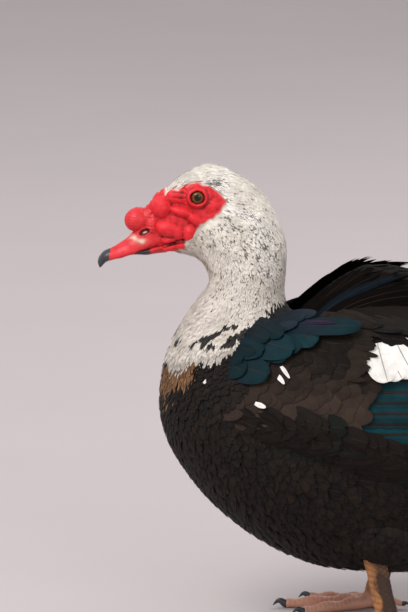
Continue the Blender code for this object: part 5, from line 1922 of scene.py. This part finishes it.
@dataclass
class Studio:
    """The pale floor, the soft lights and the camera at the photograph's angle."""

    target: Triple = (0, -0.2166, 0.2954)
    distance: float = 4.0
    elevation: float = 10.0
    lens: float = 258.5
    reach: float = 30.0
    tone: Triple = (0.5, 0.445, 0.44)
    sky: Triple = (0.98, 0.96, 1)

    def make(self) -> None:
        """Builds floor, world, lights and camera."""
        mesh = bpy.data.meshes.new("floor")
        corners = [(x * self.reach, y * self.reach, 0) for x, y in ((-1, -1), (1, -1), (1, 1), (-1, 1))]
        mesh.from_pydata(corners, [], [(0, 1, 2, 3)])
        floor = linked("floor", mesh)
        matt, nodes, shader = new_material("studio_floor")
        grain = nodes.ramp(nodes.noise(3, 3), 0.2, 0.8)
        tone = nodes.mix(grain, self.tone, np.array(self.tone) * 0.97)
        nodes.fill(shader, {"Base Color": tone, "Roughness": 0.9})
        mesh.materials.append(matt)
        world = bpy.data.worlds.new("studio")
        world.use_nodes = True
        nodes.fill(world.node_tree.nodes["Background"], {"Color": self.sky, "Strength": 0.7})
        bpy.context.scene.world = world
        self.light("key", (1.8, -2.2, 3.4), 2.6, 120)
        self.light("fill", (3.2, 1.6, 1.5), 2.4, 30)
        self.light("rim", (-2.2, 1.8, 2.6), 2, 40)
        bpy.context.scene.view_settings.view_transform = "Standard"
        camera = bpy.data.cameras.new("camera")
        camera.lens, camera.sensor_width, camera.sensor_fit = self.lens, 36, "AUTO"
        camera.clip_start, camera.clip_end = 0.1, 100
        view = linked("camera", camera)
        rise = math.radians(self.elevation)
        back = Vector((math.cos(rise), 0, math.sin(rise)))
        view.location = Vector(self.target) + back * self.distance
        view.rotation_euler = (-back).to_track_quat("-Z", "Y").to_euler()
        bpy.context.scene.camera = view

    def light(self, name: str, place: Triple, size: float, power: float) -> None:
        """Adds one soft area light that faces the bird."""
        data = bpy.data.lights.new(name, "AREA")
        data.shape, data.size, data.energy = "DISK", size, power
        lamp = linked(name, data)
        lamp.location = place
        lamp.rotation_euler = (Vector(self.target) - Vector(place)).to_track_quat("-Z", "Y").to_euler()


def trunk_skin(surface: BodySurface, wings: list[Wing], legs: list[Leg]) -> Arrays:
    """The coarser skin under the feathers.

    Args:
        surface: the body's outer form.
        wings: the wings, whose cores join the trunk.
        legs: the legs, whose thighs join the trunk.

    Returns:
        Its points and quads.
    """
    us = np.linspace(6.2, 27, 90)
    low, _ = lie_at(us)
    shells = [surface.shell(us, low + 0.6, 60), RaisedFeathers().core()]
    shells += [wing.face.core() for wing in wings]
    for leg in legs:
        thigh = leg.thigh()
        sizes = {name: getattr(thigh, name) - UNDER_FEATHERS for name in ("along", "across", "up")}
        shells.append(ball_shell(replace(thigh, **sizes)))
    points, quads, _ = wrapped(shells, 2.6, 4)
    return points, quads


def main() -> None:
    """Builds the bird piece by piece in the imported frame, then the studio."""
    logging.basicConfig(level=logging.INFO, format="%(name)s %(message)s")
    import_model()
    barbs, pores = barb_group(), pore_group()
    paint = {name: finish.make(barbs) for name, finish in PLUMAGES.items()}
    paint |= {name: finish.make(pores) for name, finish in SKINS.items()}
    paint["eye"] = eye_material()
    surface, markings = BodySurface(), Markings()
    wings = [Wing(WingFace(Side.LEFT)), Wing(WingFace(Side.RIGHT), 10)]
    legs = [Leg(Side.LEFT, -66, -50, 8), Leg(Side.RIGHT, -38, -56, -2)]
    skin = Face(surface, markings).make(trunk_skin(surface, wings, legs), paint["skin"])
    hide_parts("head", "neck", "torso")
    for leg in legs:
        points, quads, values = leg.skin()
        shank = piece("leg_skin_" + leg.side.word, points, quads, values, paint["leg"])
        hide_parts("leg_" + leg.side.word, "foot_" + leg.side.word)
        leg.claws(paint["nail"])
        leg.feathers(markings, paint["body"])
    Bill().make(paint)
    Eyes().make(paint["eye"])

    def hidden(points: Array) -> Array:
        return wings[0].face.hides(points) | wings[1].face.hides(points)

    coat = BodyCoat(surface, markings, hidden)
    for number, (name, start, end, finish, slot) in enumerate(
        (
            ("head_feathers", 0.3, 4, "hair", "white_plumage"),
            ("nape_feathers", 4, 8, "hair", "white_plumage"),
            ("neck_feathers", 8, 11, "hair", "white_plumage"),
            ("breast_feathers", 11, 15, "body", "dark_plumage"),
            ("belly_feathers", 15, 20, "body", "dark_plumage"),
            ("rump_feathers", 20, 26, "body", "dark_plumage"),
        )
    ):
        coat.lay(name, start, end, SEED + 11 * number, paint[finish], slot)
    for wing in wings:
        wing.make(paint["wing"])
    RaisedFeathers().make(paint["long"])
    Tail().make(paint["wing"])
    Studio().make()


if __name__ == "__main__":
    main()
